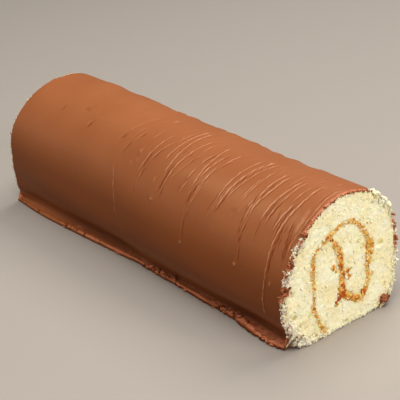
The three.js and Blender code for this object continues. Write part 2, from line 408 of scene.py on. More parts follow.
def copies(mesh: Mesh, count: int) -> tuple[list[bmesh.types.BMVert], Array]:
    """Copies the only block of a mesh until there are count of them.

    Returns:
        All the vertices, block by block, and the places of the first block's.
    """
    made = mesh.verts[:]
    block = positions(made)
    while len(made) < count * len(block):
        some = made[:count * len(block) - len(made)]
        within = set(some)
        geom = some + [edge for edge in mesh.edges if within.issuperset(edge.verts)]
        geom += [face for face in mesh.faces if within.issuperset(face.verts)]
        copied = bmesh.ops.duplicate(mesh, geom=geom)["geom"]
        made += [item for item in copied if isinstance(item, bmesh.types.BMVert)]
    return made, block


@dataclass(frozen=True)
class Lump:
    """One closed, uneven lump.

    Attributes:
        middle: its middle, in millimetres.
        size: its half sizes before it is turned.
        turn: a rotation vector.
        roughness: how far its skin varies, as a share of its radius.
        values: the numbers that its material reads from it.
    """

    middle: Sequence[float]
    size: Sequence[float]
    turn: Sequence[float]
    roughness: float
    values: tuple[float, ...]

    def skin(self, ball: Array, seed: float) -> Array:
        """Places of its vertices, from those of a ball and a seed for its own unevenness."""
        swell = grain(ball, 0.8, seed) + 0.6 * grain(ball, 0.37, -seed)
        turn = Vector(self.turn)
        spin = np.array(Matrix.Rotation(turn.length, 3, turn.normalized()))
        uneven = ball * (1 + self.roughness * swell)[:, None] * np.asarray(self.size)
        return uneven @ spin.T + self.middle


def lumps_piece(
    name: str, lumps: Sequence[Lump], names: tuple[str, ...], material: Material,
    rounds: int = 2,
) -> None:
    """Makes one piece out of many lumps. None of them goes below the floor.

    Args:
        name: the piece's name.
        lumps: the lumps.
        names: names of the values that each lump carries, in order.
        material: their finish.
        rounds: how finely each is divided.
    """
    mesh = new_mesh(*names, vector="course")
    bmesh.ops.create_icosphere(mesh, subdivisions=rounds, radius=1.0)
    made, ball = copies(mesh, len(lumps))
    place = np.concatenate([lump.skin(ball, 1.7 * i + 0.3) for i, lump in enumerate(lumps)])
    place[:, 2] = np.maximum(place[:, 2], 0.0)
    place_vertices(made, place)
    values = np.repeat(np.array([lump.values for lump in lumps], float), len(ball), axis=0)
    store(mesh, made, course=place, **dict(zip(names, values.T)))
    finish_piece(name, mesh, material)


# ------------------------------------------------------------------------------ shader helpers


def maths(operation: str, turned: bool = False) -> Callable[["Term", "Term | float"], "Term"]:
    """An operator of two terms: one Math node, with their order turned round if need be."""

    def operator(self: "Term", other: "Term | float") -> "Term":
        """Adds the node."""
        first, second = (other, self) if turned else (self, other)
        made = self.paint.node("ShaderNodeMath", {"operation": operation}, {0: first, 1: second})
        return Term(self.paint, made.outputs[0])

    return operator


class Term:
    """A number in a shader, so that shader maths is written as an expression."""

    def __init__(self, paint: "Paint", socket: Socket) -> None:
        """Wraps an output socket of the paint's own nodes."""
        self.paint = paint
        self.socket = socket

    __add__ = __radd__ = maths("ADD")
    __sub__ = maths("SUBTRACT")
    __rsub__ = maths("SUBTRACT", turned=True)
    __mul__ = __rmul__ = maths("MULTIPLY")

    def step(self, low: float, high: float) -> "Term":
        """A smooth step from 0 at low to 1 at high."""
        made = self.paint.node(
            "ShaderNodeMapRange",
            {"interpolation_type": "SMOOTHSTEP"},
            {"Value": self, "From Min": low, "From Max": high},
        )
        return Term(self.paint, made.outputs["Result"])


class Paint:
    """Builds one node material."""

    def __init__(self, name: str) -> None:
        """Starts a material with no nodes."""
        self.material = bpy.data.materials.new(name)
        self.material.use_nodes = True
        self.tree = self.material.node_tree
        self.tree.nodes.clear()
        self.place = self.node("ShaderNodeTexCoord").outputs["Object"]

    def node(
        self, kind: str, settings: dict[str, Any] | None = None,
        values: dict[str | int, Any] | None = None,
    ) -> bpy.types.Node:
        """Adds one node.

        Args:
            kind: the node's type.
            settings: its own settings, set first.
            values: what goes into its sockets: numbers, colours, sockets or terms.
        """
        made = self.tree.nodes.new(kind)
        for key, value in (settings or {}).items():
            setattr(made, key, value)
        for key, value in (values or {}).items():
            socket = made.inputs[key]
            if isinstance(value, Term):
                self.tree.links.new(value.socket, socket)
            elif isinstance(value, Socket):
                self.tree.links.new(value, socket)
            elif socket.type == "RGBA":
                socket.default_value = (*value, 1.0)
            else:
                socket.default_value = value
        return made

    def stored(self, name: str) -> Term:
        """A number stored on the mesh."""
        made = self.node("ShaderNodeAttribute", {"attribute_name": name})
        return Term(self, made.outputs["Fac"])

    def course(self, scale: Triple) -> Socket:
        """The coordinates stored on the mesh as "course", multiplied axis by axis."""
        made = self.node("ShaderNodeAttribute", {"attribute_name": "course"})
        values = {0: made.outputs["Vector"], 1: scale}
        return self.node("ShaderNodeVectorMath", {"operation": "MULTIPLY"}, values).outputs[0]

    def speckle(
        self, scale: float, detail: float = 2.0, roughness: float = 0.5,
        source: Socket | None = None,
    ) -> Term:
        """Noise from 0 to 1, about 0.5 on average, in the cake's own frame if no source is given."""
        values = {
            "Vector": source or self.place, "Scale": scale, "Detail": detail,
            "Roughness": roughness,
        }
        return Term(self, self.node("ShaderNodeTexNoise", {}, values).outputs["Fac"])

    def pores(self, scale: float) -> Term:
        """Distance to the nearest of scattered points, for pores and grains."""
        values = {"Vector": self.place, "Scale": scale}
        return Term(self, self.node("ShaderNodeTexVoronoi", {}, values).outputs["Distance"])

    def blend(self, share: Term | float, first: Any, second: Any) -> Socket:
        """One colour turning into another as share goes from 0 to 1."""
        values = {0: share, 6: first, 7: second}
        return self.node("ShaderNodeMix", {"data_type": "RGBA"}, values).outputs[2]

    def relief(
        self, height: Term, depth: float, strength: float, under: Socket | None = None
    ) -> Socket:
        """A Bump node: height from 0 to 1 stands for depth in metres."""
        values = {"Height": height, "Distance": depth, "Strength": strength}
        if under:
            values["Normal"] = under
        return self.node("ShaderNodeBump", {}, values).outputs["Normal"]

    def surface(self, **values: Any) -> Material:
        """Ends the material with a Principled shader, whose sockets are named with _ for a space."""
        values = {name.replace("_", " "): value for name, value in values.items()}
        shader = self.node("ShaderNodeBsdfPrincipled", {}, values)
        self.node("ShaderNodeOutputMaterial", {}, {"Surface": shader.outputs["BSDF"]})
        return self.material


# ------------------------------------------------------------------------------ finishes


@dataclass(frozen=True)
class ChocolateFinish:
    """Brushed milk chocolate: a satin skin, paler where broken, with painted highlight and shade.

    It reads "course", the place along and round, "rim", how thin or broken it is, with painted
    highlight on the foot, "line", painted highlight along the ridges' crests above 0 and painted
    shade in the grooves below, and "low", painted shade on the low side.
    """

    body: Triple = (0.350, 0.131, 0.051)
    deep: Triple = (0.303, 0.108, 0.041)
    # The groove and crest colours are painted shade and painted highlight for the brush's relief.
    groove: Triple = (0.200, 0.046, 0.009)
    crest: Triple = (0.520, 0.255, 0.135)
    # Paler broken chocolate, which also serves as painted highlight on the foot.
    broken: Triple = (0.57, 0.215, 0.110)
    # Painted shade for the low side of the roll.
    low: Triple = (0.238, 0.073, 0.0195)
    rough: float = 0.50
    stretch: Triple = (1.1, 0.035, 1.0)

    def make(self) -> Material:
        """Builds the material."""
        paint = Paint("milk_chocolate")
        clouds = paint.speckle(22.0, 3.0)
        strokes = paint.speckle(1.0, 4.0, 0.62, paint.course(self.stretch))
        grit = paint.speckle(900.0, 3.0, 0.6)
        streaky = (clouds * 0.7 + strokes * 0.5 - 0.1).step(0.3, 0.8)
        colour = paint.blend(streaky, self.deep, self.body)
        # Painted shade on the low side.
        colour = paint.blend(paint.stored("low"), colour, self.low)
        line = paint.stored("line")
        # Painted shade in the grooves and painted highlight on the ridges' crests.
        colour = paint.blend((line * -1.0).step(0.0, 1.0), colour, self.groove)
        colour = paint.blend(line.step(0.0, 1.0), colour, self.crest)
        # Paler where the chocolate is thin or broken, and painted highlight on the foot's top and
        # edge.
        edge = (paint.stored("rim") + (grit - 0.5) * 0.6).step(0.35, 0.9)
        colour = paint.blend(edge, colour, self.broken)
        skin = paint.relief(strokes, 0.00022, 0.45)
        skin = paint.relief(grit, 0.00012, 0.35, skin)
        rough = self.rough + (clouds - 0.5) * 0.10 + (strokes - 0.5) * 0.16 + edge * 0.15
        return paint.surface(
            Base_Color=colour, Roughness=rough, Normal=skin, IOR=1.46, Specular_IOR_Level=0.22,
            Subsurface_Weight=0.06, Subsurface_Radius=(1.0, 0.35, 0.12), Subsurface_Scale=0.002,
        )


@dataclass(frozen=True)
class SpongeFinish:
    """Pale sponge: soft and matt, with fine pores and slightly yellow dense streaks.

    The pores and hollows of the crumb are darkened with painted shade. It reads "hollow", how
    deep a vertex lies in a hole, "stain", how near the jam is, "blush", how much chocolate is
    smeared on a crumb, "close", how close the crumb is, and "dense", where the sponge is yellow
    and heavy.
    """

    crumb: Triple = (0.93, 0.82, 0.50)
    pale: Triple = (0.97, 0.90, 0.64)
    # Painted shade in the pores and hollows of the crumb.
    pore_shade: Triple = (0.56, 0.46, 0.24)
    dense: Triple = (0.74, 0.63, 0.22)
    stained: Triple = (0.90, 0.58, 0.24)
    blush: Triple = (0.97, 0.72, 0.58)

    def make(self) -> Material:
        """Builds the material."""
        paint = Paint("pale_sponge")
        open_pores = 1 - paint.pores(620.0).step(0.10, 0.42)
        loose = 1 - paint.stored("close") * 0.75
        colour = paint.blend(
            paint.speckle(90.0, 3.0, 0.55).step(0.35, 0.65), self.crumb, self.pale
        )
        patches = paint.speckle(170.0)
        colour = paint.blend(patches.step(0.58, 0.74) * 0.15, colour, self.dense)
        streaks = paint.stored("dense") * (patches + 0.6)
        colour = paint.blend(streaks.step(0.15, 0.95) * 0.8, colour, self.dense)
        # Painted shade of tiny pores: dark specks where the crumb is loose.
        specks = paint.speckle(760.0, 2.0, 0.6).step(0.60, 0.78)
        colour = paint.blend(specks * 0.65 * loose, colour, self.pore_shade)
        stain = paint.stored("stain") + (paint.speckle(420.0, 3.0) - 0.5) * 0.9
        colour = paint.blend(stain.step(0.35, 0.95), colour, self.stained)
        colour = paint.blend(paint.stored("blush"), colour, self.blush)
        # Painted shade in the holes and pits of the crumb, the deeper ones darker.
        depth = paint.stored("hollow") * 0.75 + open_pores * 0.32 * loose
        colour = paint.blend(depth.step(0.1, 1.0), colour, self.pore_shade)
        skin = paint.relief(paint.speckle(700.0, 4.0, 0.65), 0.0006, 0.8)
        skin = paint.relief(open_pores, -0.0004, 0.5, skin)
        return paint.surface(
            Base_Color=colour, Roughness=0.9, Normal=skin, IOR=1.35, Specular_IOR_Level=0.25,
            Subsurface_Weight=0.35, Subsurface_Radius=(1.0, 0.7, 0.35), Subsurface_Scale=0.003,
        )


@dataclass(frozen=True)
class JamFinish:
    """Apricot jam soaked into the crumb: moist, amber, darker where it lies thick.

    It reads "thick", where the jam is dark and clotted.
    """

    amber: Triple = (0.82, 0.37, 0.062)
    thin: Triple = (0.92, 0.64, 0.24)
    thick: Triple = (0.49, 0.116, 0.012)
    ochre: Triple = (0.58, 0.34, 0.055)

    def make(self) -> Material:
        """Builds the material."""
        paint = Paint("apricot_jam")
        clots = paint.speckle(480.0, 3.0, 0.6)
        fine = paint.speckle(900.0, 3.0, 0.6)
        colour = paint.blend(clots.step(0.38, 0.60), self.thin, self.amber)
        colour = paint.blend(paint.speckle(210.0).step(0.52, 0.64) * 0.7, colour, self.ochre)
        thick = (paint.stored("thick") + (clots - 0.5) * 0.9).step(0.25, 0.85)
        colour = paint.blend(thick, colour, self.thick)
        skin = paint.relief(fine * 0.5 + clots, 0.0006, 0.6)
        return paint.surface(
            Base_Color=colour, Roughness=0.38 + (fine - 0.5) * 0.3, Normal=skin, IOR=1.45,
            Specular_IOR_Level=0.22, Subsurface_Weight=0.3, Subsurface_Radius=(1.0, 0.4, 0.1),
            Subsurface_Scale=0.002,
        )


@dataclass(frozen=True)
class FloorFinish:
    """A plain pale floor."""

    colour: Triple = (0.34, 0.30, 0.26)

    def make(self) -> Material:
        """Builds the material."""
        paint = Paint("pale_floor")
        darker = tuple(0.9 * part for part in self.colour)
        tone = paint.blend(paint.speckle(6.0) * 0.12, self.colour, darker)
        return paint.surface(Base_Color=tone, Roughness=0.75, IOR=1.4)


# ------------------------------------------------------------------------------ brush strokes


class Brushing(Enum):
    """How strongly the brush has worked the chocolate, as a share of the full height."""

    FAINT = 0.50
    PLAIN = 0.95
    STRONG = 1.35


# Half widths of a ridge, of a groove alone, and of what a single bristle leaves.
THICK, GROOVE, HAIR = 0.36, 0.38, 0.32


@dataclass(frozen=True)
class Ridge:
    """A thin ridge that the brush left, with a groove on its right, or a groove alone.

    Attributes:
        line: the points that it runs through: X, and the distance round along the strokes.
        brushing: how high it stands.
        width: half its width.
        groove: whether it is a groove alone.
    """

    line: Rows
    brushing: Brushing
    width: float
    groove: bool = False

    def marks(self, x: Array, around: Array) -> Array:
        """What it does at places on the coat.

        Args:
            x: X of each place.
            around: the distance of each place round along the strokes.

        Returns:
            The lift in millimetres, below 0 in a groove, and the paint: painted highlight above 0
            along its crest and painted shade below 0 in its groove.
        """
        line = self.line if self.line[0][1] < self.line[-1][1] else self.line[::-1]
        course = Curve([(distance, at) for at, distance in line])
        start, end = line[0][1], line[-1][1]
        lean = course.value(around + 0.5) - course.value(around - 0.5)
        wander = 0.16 * np.sin(around * 1.3 + start) + 0.10 * np.sin(around * 3.1 + end)
        beside = (x - course.value(around) - wander) / np.hypot(1.0, lean) / self.width
        fade = min(3.0, 0.3 * (end - start))
        ends = plateau(around, (start - 1, start + fade), (end - fade, end + 1))
        knots = 0.85 + 0.35 * np.sin(around * 2.2 + end) * np.sin(around * 1.37 + start)
        # The paint is painted shade in the groove and painted highlight along the crest.
        if self.groove:
            lift, paint = -0.36 * hump(beside, 0.0, 1.1), -0.95 * hump(beside, 0.0, 0.9)
        else:
            crest = hump(beside, -0.5, np.where(beside < -0.5, 1.5, 0.9))
            lift = 0.28 * crest - 0.22 * hump(beside, 1.9, 1.2)
            paint = 0.58 * hump(beside, 0.0, 0.75) - 0.50 * hump(beside, 2.1, 1.1)
        return self.brushing.value * ends * knots * np.stack([lift, paint])


@dataclass(frozen=True)
class Spot:
    """A drop of chocolate, or a dent where height is below 0.

    Attributes:
        x: its X.
        around: its distance round along the strokes.
        wide: half its size along X.
        high: half its size round the roll.
        height: how far it stands out.
    """

    x: float
    around: float
    wide: float
    high: float
    height: float

    def lift(self, x: Array, around: Array) -> Array:
        """How far it lifts the skin at places on the coat."""
        apart = ((x - self.x) / self.wide) ** 2 + ((around - self.around) / self.high) ** 2
        return self.height * np.exp(-(apart**1.5))


def strokes(
    brushing: Brushing, width: float, *lines: Rows, groove: bool = False
) -> Iterator[Ridge]:
    """Ridges, or grooves alone, that share their strength and half width."""
    return (Ridge(line, brushing, width, groove) for line in lines)


def back_ridges() -> Iterator[Ridge]:
    """Ridges of the hidden side, which vary in place, length and lean by a fixed rule."""
    for index, x in enumerate((-62, -14, 22, 48, 71, 93)):
        lean = 0.8 * math.sin(3.1 * index)
        start = 128 + 9 * math.sin(2.3 * index)
        end = 172 + 12 * math.sin(1.7 * index + 1)
        yield Ridge(((x - 0.5 * lean, start), (x, 150), (x + lean, end)), Brushing.STRONG, THICK)
        yield Ridge(((x + 2.6, start + 8), (x + 3.4, end - 9)), Brushing.PLAIN, THICK)


RIDGES: tuple[Ridge, ...] = (
    *strokes(
        Brushing.FAINT, 0.8,
        ((-18.4, 75), (-17.6, 79), (-15.5, 84)), ((-7.6, 81), (-6, 88)),
    ),
    *strokes(
        Brushing.PLAIN, 0.45,
        ((-13.2, 31), (-14.2, 39.6), (-16.6, 47.2), (-19, 53.6), (-22.6, 59.5)),
    ),
    *strokes(
        Brushing.FAINT, THICK,
        ((-22.6, 66.8), (-21.8, 70), (-20.6, 73.8)), ((-21, 78.6), (-19.8, 82), (-18.2, 85)),
        ((8.5, 88), (10, 92), (11.8, 96)), ((13.5, 56), (14.8, 53.5), (16.2, 51)),
        ((22, 61), (24.5, 66), (27, 72), (29, 77), (31, 82), (32.5, 88)),
        ((18.6, 63), (18.9, 66), (18.8, 69)), ((22.9, 50), (22.2, 55), (21.3, 60)),
        ((34, 88), (35.2, 92), (37, 97)),
        ((45.6, 37), (45, 43), (44.2, 50), (43.2, 57), (42.2, 62), (41.6, 67)),
        ((48.6, 80), (50.2, 85)), ((58.5, 51), (60.6, 52.8), (61.4, 57), (61.5, 62), (61.6, 68)),
        ((67.3, 48.5), (66.3, 51), (65, 54)), ((77.3, 52.5), (76.2, 54.5)),
        ((88.6, 38.5), (89.8, 42), (89, 46), (87, 52), (86, 56), (84.5, 60), (83.2, 65)),
        ((86.3, 50), (87.2, 55), (87.4, 60), (86.6, 65)), ((84.2, 88), (84.2, 96)),
        ((96.4, 86), (97, 92), (97.8, 98)), ((99.8, 49.5), (98.2, 53.5), (97.4, 58.5)),
        ((113.8, 60), (114.2, 66)), ((116.6, 50), (115.6, 58)), ((107.6, 106), (107.2, 99)),
    ),
    *strokes(
        Brushing.PLAIN, THICK,
        ((-27.2, 80), (-25.4, 84.8), (-23.4, 88.4)),
        ((-1.5, 60), (-1.0, 66), (-0.5, 72), (0.5, 78), (1.8, 84), (3, 88)),
        ((2.8, 70), (4, 74), (6, 79), (8, 84)),
        ((12.3, 73), (13, 80), (14, 86), (15.5, 96), (16.2, 104)),
        ((18, 66), (18, 74), (18, 84), (19, 94), (19.5, 102)),
        ((21.7, 59), (21.9, 66), (22.2, 71), (23, 76), (24.6, 83), (26.5, 90), (29, 97)),
        ((33.5, 61), (34, 66), (35.5, 72), (36, 76)),
        ((41.5, 67), (41, 76), (41.2, 84), (41.8, 96)),
        ((42.5, 72), (43.5, 78), (45.5, 86), (46.7, 90)),
        ((45.5, 62), (46, 68), (47, 76), (47.7, 82)),
        ((61.8, 66), (62, 74), (63, 80), (64.5, 87), (66.5, 93), (68, 97)),
        ((67.4, 69), (69.2, 76), (71.8, 83.5), (74, 89.5), (76.4, 95), (77.5, 98)),
        ((77.5, 71), (78.5, 78), (80, 86), (81.5, 93)), ((83.1, 65), (83.2, 70), (84, 74)),
        ((98.9, 66), (99.5, 72), (100.8, 80), (102, 88), (103.3, 94)),
        ((121.2, 52), (120.6, 60), (121.4, 68), (122, 78), (121.4, 88), (121.8, 98)),
        ((104, 106.5), (105.2, 104)),
    ),
    *strokes(Brushing.PLAIN, 0.6, ((-62.2, 70.5), (-61.4, 74.4), (-60.2, 77.8))),
    *strokes(Brushing.FAINT, 1.1, ((-24, 89.5), (-21.5, 92.5), (-18, 97))),
    *strokes(
        Brushing.STRONG, THICK,
        ((36.5, 79), (37.3, 82), (38.5, 86.5)), ((50.5, 84), (51.5, 88), (53.5, 94)),
        ((64.6, 60), (65, 68), (66, 75), (68, 83), (70.5, 90), (73, 96), (75, 100)),
        ((85.9, 75), (86.3, 82), (87.5, 88), (89.5, 93.5)),
        ((86.4, 65), (87, 72), (88.5, 77), (90, 82), (91, 88), (92, 93)),
        ((95.5, 66), (95.8, 72), (96.8, 78), (98.5, 84), (100.5, 92.5)),
        ((105.6, 62), (106.3, 70), (107.4, 75), (108.6, 79)),
        ((111.4, 18), (110.8, 27), (111.3, 40), (110.5, 50), (109.8, 60), (110, 70),
         (111.5, 80), (112.3, 92), (113, 95)),
    ),
    *strokes(Brushing.FAINT, 1.3, ((118.8, 64), (119.2, 72), (118.6, 80))),
    *strokes(
        Brushing.PLAIN, HAIR,
        ((66.6, 71), (68, 77), (69.6, 83.5), (71.4, 89.5), (73.8, 96)),
        ((76.5, 72), (77.3, 78), (78.7, 85)), ((106.3, 80), (107, 86), (107.8, 92)),
        ((10.4, 86), (12.2, 95)), ((30.4, 85), (32, 92)), ((0.6, 56.5), (1.6, 60), (1.2, 64)),
        ((35.2, 59), (35.8, 64), (36.3, 68.5)), ((62.5, 58), (63.1, 64), (63.6, 71)),
        ((84.8, 73), (85.2, 67), (85.6, 60)), ((114, 71), (116.1, 63.5), (118.3, 55)),
        ((44.9, 50.5), (46, 56), (46.7, 62), (47.8, 70)), ((107.2, 75), (107.7, 67), (108.1, 60)),
    ),
    *strokes(
        Brushing.PLAIN, HAIR,
        ((19.8, 56), (20.3, 62), (19.7, 70)), ((21.6, 51), (22.6, 56.5), (21.4, 62)),
        ((33, 60.2), (33.7, 65), (34.7, 70.5)), ((42.4, 55), (43.2, 62), (44.4, 68.6)),
        ((60.2, 60), (60.8, 66), (61.1, 72)), ((82.6, 71), (83.4, 65), (84.8, 58.5), (85.8, 52.5)),
        ((87.9, 64), (88.1, 57), (88.7, 50)), ((103.8, 74), (104.7, 68), (106.1, 61.5)),
        ((112.6, 68), (113.5, 61), (113.6, 54)), ((116.4, 70), (118.7, 62), (120.2, 54)),
        ((46, 47.6), (46.9, 53)), ((59, 57.5), (59.8, 61.5)), ((64.7, 58), (65.6, 63), (66.8, 70)),
        ((95.9, 66), (96.5, 60), (98, 53.5)), ((46.5, 37.5), (46.2, 43), (45.6, 49)),
        ((89.6, 40.5), (90.2, 44), (89.4, 49)), ((1.2, 57), (2.4, 62), (3.0, 67)),
        groove=True,
    ),
    *strokes(
        Brushing.STRONG, GROOVE,
        ((-21.2, 66.5), (-20, 71), (-19.2, 75)), ((1.4, 63), (0.6, 68), (0.7, 73.5)),
        ((114.8, 70), (115.6, 66), (117.3, 59), (119, 51.5)),
        ((111.1, 67), (111.4, 62), (111.9, 56), (112.2, 48), (113, 42)),
        ((39.3, 84.5), (39.9, 87.3)), ((84.4, 75.5), (84.4, 72)), ((46.2, 86.6), (47.4, 90)),
        groove=True,
    ),
    *strokes(
        Brushing.PLAIN, GROOVE,
        ((3.6, 69.5), (4.9, 74), (6.6, 79)), ((19.6, 55), (20.1, 60), (20.4, 66), (20.7, 73)),
        ((24.8, 79), (26.2, 82)), ((29.3, 76.5), (31.1, 81.5)), ((37, 80), (38.5, 84.5)),
        ((43.2, 56), (44, 62), (45.2, 68), (46.3, 70.5)), ((50.3, 81.5), (51.9, 85.5)),
        ((67.3, 74), (69.3, 82), (71.9, 88)), ((88.3, 87), (88, 80), (86.9, 74.5)),
        ((98.4, 77), (97.6, 71), (97.2, 66)), ((108.9, 79), (108.4, 73), (108.1, 66), (109, 60)),
        ((117.6, 63), (119.5, 55), (120, 51)), ((-16.2, 79), (-14.8, 82)),
        ((100.8, 79), (99.9, 72), (99.7, 66)), ((16.2, 79), (16.4, 88)), ((19.9, 79), (20, 87)),
        ((106.2, 104.5), (107, 102)), ((109, 101), (108.7, 97)), ((119.8, 85), (119.9, 90)),
        ((85.3, 58), (86.8, 54), (88, 49)), ((0.4, 52), (1.6, 49.4)), ((62.7, 70), (62.6, 66)),
        ((-60.6, 66), (-61.8, 68.8), (-61.8, 71.4)), ((-60.6, 70.5), (-59.8, 74.4), (-57.8, 78.2)),
        ((-73, 80.4), (-71.4, 83.6), (-68.6, 87.8)), ((-29.6, 73.2), (-27.6, 77.2), (-26.6, 80.2)),
        ((-70.6, 79.4), (-67, 87)), ((-90.2, 74.8), (-91, 81)), ((-64.2, 77.6), (-61, 80.6)),
        ((-19.8, 78.2), (-18.2, 81.4)), ((-59.4, 82), (-56.8, 83.6)),
        groove=True,
    ),
    *back_ridges(),
)

# Drops and the dents beside them, with painted highlight on the drops and painted shade in
# the dents, as on the strokes.
DROPS: tuple[Spot, ...] = tuple(
    Spot(*row) for row in (
        (45.7, 35.4, 1.0, 0.9, 0.75), (88.5, 38.7, 1.1, 1.0, 0.85), (115.4, 38.2, 0.8, 1.3, 0.7),
        (16.8, 50.6, 1.4, 0.8, 0.7), (14.6, 50.6, 0.8, 0.8, -0.3), (13.5, 60.6, 0.7, 1.3, 0.5),
        (-8.4, 21.6, 1.2, 0.8, 0.45), (-8.2, 72.0, 0.8, 1.3, 0.55), (-8.8, 69.2, 1.1, 0.7, -0.5),
        (-6.8, 66.6, 0.7, 1.3, 0.35), (-10.4, 63.6, 1.2, 1.0, 0.35), (-28.0, 75.2, 1.3, 1.3, -0.35),
        (-7.2, 98.4, 1.6, 1.8, -0.4), (-9.8, 99.8, 1.4, 1.4, 0.35), (75.3, 64.2, 1.6, 0.8, -0.35),
    )
)

# Smaller dents and drops, and the long swells past the top, which are relief alone.
DENTS: tuple[Spot, ...] = tuple(
    Spot(*row) for row in (
        (77.0, 62.2, 1.0, 0.7, -0.4), (78.8, 65.8, 1.3, 0.9, 0.4), (80.1, 65.6, 0.5, 0.6, -0.35),
        (64.3, 59.2, 0.9, 0.6, -0.45), (112.8, 94.0, 1.6, 0.9, 0.4), (116.5, 103.0, 0.8, 1.6, -0.4),
        (106.8, 86.0, 0.6, 1.0, -0.35), (-32.2, 64.8, 1.4, 1.0, -0.3),
        (-65.8, 56.8, 1.2, 0.8, -0.25), (-103.8, 40.8, 1.6, 1.0, -0.25),
        (-27.5, 121, 1.4, 8.0, 0.45), (-16.2, 121, 1.8, 8.0, 0.55), (7.7, 121, 1.4, 8.0, 0.4),
        (18.2, 121, 1.4, 8.0, 0.45), (36.5, 121, 1.4, 7.0, 0.35), (43.5, 121, 1.4, 7.0, 0.35),
        (55.2, 121, 1.5, 8.0, 0.45), (69.0, 121, 1.6, 8.0, 0.3), (90.0, 121, 2.3, 9.0, 0.3),
    )
)


# ------------------------------------------------------------------------------ chocolate coat


@dataclass
class ChocolateCoat:
    """The brushed chocolate over the roll, with its hollow foot and ragged ends.

    The foot's points are its outer face in the section. The rims say how far each end stops
    short of the cut face, by the distance round.
    """

    material: Material
    foot_points: Rows = (
        (-30.0, 0.0), (-33.5, 0.0), (-35.5, 0.02), (-36.15, 0.5), (-36.15, 1.2), (-35.6, 1.8),
        (-34.6, 1.95), (-33.2, 1.95), (-32.0, 2.3), (-31.3, 3.2), (-31.2, 4.6),
    )
    column_stops: tuple[float, ...] = (-125, -121, -32, -26, 122, 125)
    column_steps: tuple[float, ...] = (0.7, 1.4, 0.6, 0.23, 0.3)
    row_steps: tuple[float, ...] = (0.6, 1.15, 1.35, 4.0)
    inner_columns: int = 50
    inner_rows: int = 27
    near_rim: Rows = (
        (-16, 4.9), (-6, 4.7), (-3, 3.8), (0, 2.6), (4, 1.4), (8, 0.8), (14, 0.7), (20, 1.1),
        (27, 0.9), (31, 0.6), (34, 0.2), (38, 1.0), (42, 1.3), (45, 0.5), (50, 0.8), (56, 1.4),
        (59, 1.7), (62, 0.8), (66, 0.4), (72, 0.7), (90, 0.7), (112, 0.6), (120, 1.7),
        (130, 2.0), (138, 1.8), (143, 0.6), (152, 0.3), (160, 0.3), (165, 1.6), (175, 1.9),
        (186, 1.6), (192, 0.5), (215, 0.6),
    )
    far_rim: Rows = (
        (-16, 0.4), (0, 0.9), (18, 1.2), (30, 1.9), (45, 1.0), (90, 0.9), (96, 1.9), (105, 1.0),
        (150, 1.1), (215, 1.3),
    )

    @cached_property
    def skin(self) -> tuple[Curve, float]:
        """The outer face in the section, and how far along it the crease lies.

        Returns:
            The line from under the foot's edge to the tucked lip, and the crease's distance.
        """
        skin = FORM.grown(FORM.seam + FORM.coat)
        left = skin[:, 0] < 0
        body = skin[(left & (skin[:, 1] > 7.2)) | (~left & (skin[:, 1] > 0.6))]
        foot = Curve(self.foot_points)
        lip = np.array([(FORM.lip + 4, 0.3), (FORM.lip + 0.8, 0.3), (FORM.lip, 0.75)])
        return Curve(np.concatenate([foot.points, body, lip]), samples=1), foot.length

    def inner_line(self) -> Curve:
        """The inner face in the section, from the foot's heel to the lip."""
        skin = FORM.grown(FORM.seam)
        left = skin[:, 0] < 0
        body = skin[(left & (skin[:, 1] > 0.3)) | (~left & (skin[:, 1] > 1.2))]
        heel, lip = [(body[0, 0] + 0.8, 0.05)], [(FORM.lip + 0.15, 1.0)]
        return Curve(np.concatenate([heel, body, lip]), samples=1)

    def around(self, section: Array) -> Array:
        """How far round from the crease the skin is nearest to each Y, Z of the section."""
        line, crease = self.skin
        return line.run[nearest_on(section, line.points)[0]] - crease

    def beside(self, around: float, out: float) -> tuple[Array, Array]:
        """A place beside the skin.

        Args:
            around: its distance round from the crease. Past the lip's tip, the tip stands in.
            out: how far out of the skin it lies.

        Returns:
            Its Y, Z, and the way out of the skin there.
        """
        line, crease = self.skin
        distance = min(around + crease, line.length - 1.0)
        way = turned_left(line.tangent(distance, 0.6))
        return line.at(distance) + way * out, way

    def brushed(self, x: Array, around: Array, place: Array) -> tuple[Array, Array]:
        """The strokes, drops and swells of the body. The strokes start before the crease.

        Args:
            x: X of each place.
            around: distance round from the crease.
            place: the places themselves.

        Returns:
            How far the skin stands out, and its paint: painted highlight above 0, painted shade
            below.
        """
        along = around + 2.3 - 1.3 * smooth(around, 66, 92)
        lift, paint = sum(ridge.marks(x, along) for ridge in RIDGES)
        drops = sum(drop.lift(x, along) for drop in DROPS)
        lift = lift + drops + sum(dent.lift(x, along) for dent in DENTS)
        lift += 0.16 * grain(place, (30, 22, 22), 3.1)
        bristly = smooth(x, -34, 0) * plateau(around, (40, 62), (96, 112))
        bristles = grain(np.stack([x - 0.16 * (around - 60), around / 18, 0 * x], -1), 0.9, 5.0)
        lift += (0.01 + 0.05 * bristly) * bristles
        # The drops add painted highlight to the paint, and the dents among them add painted shade.
        return lift, paint + 0.8 * drops

    @staticmethod
    def foot_relief(x: Array, around: Array) -> tuple[Array, Array]:
        """Lumps, folds and the broken edge of the foot.

        Args:
            x: X of each place.
            around: distance round from the crease, below 0 on the foot.

        Returns:
            The lift, and how far each place is moved outwards in Y.
        """
        out = -around
        flat = np.stack([x, around, 0 * x], -1)
        rough_stretch = plateau(x, (-12, 4), (16, 30)) + plateau(x, (44, 56), (84, 96))
        lumps = 0.22 * grain(flat, (2.4, 1.6, 1.0), 8.0) + 0.16 * grain(flat, (0.9, 0.9, 1.0), 2.0)
        folds = smooth(x, 92, 101) * 0.42 * np.sin((x - 0.7 * around) * 1.15)
        raised = 0.9 * plateau(x, (82, 88), (96, 101)) * smooth(out, 3.0, 5.0)
        lift = lumps * (0.5 + 0.9 * rough_stretch) + folds + raised
        broken = 0.45 * grain(flat * (1, 0, 0), 2.2, 4.0) + 0.35 * grain(flat * (1, 0, 0), 0.8, 6.0)
        push = -hump(out, 7.6, 1.9) * broken * (0.45 + 0.9 * rough_stretch)
        return plateau(out, (0.0, 1.5), (9.5, 12.0)) * lift, push

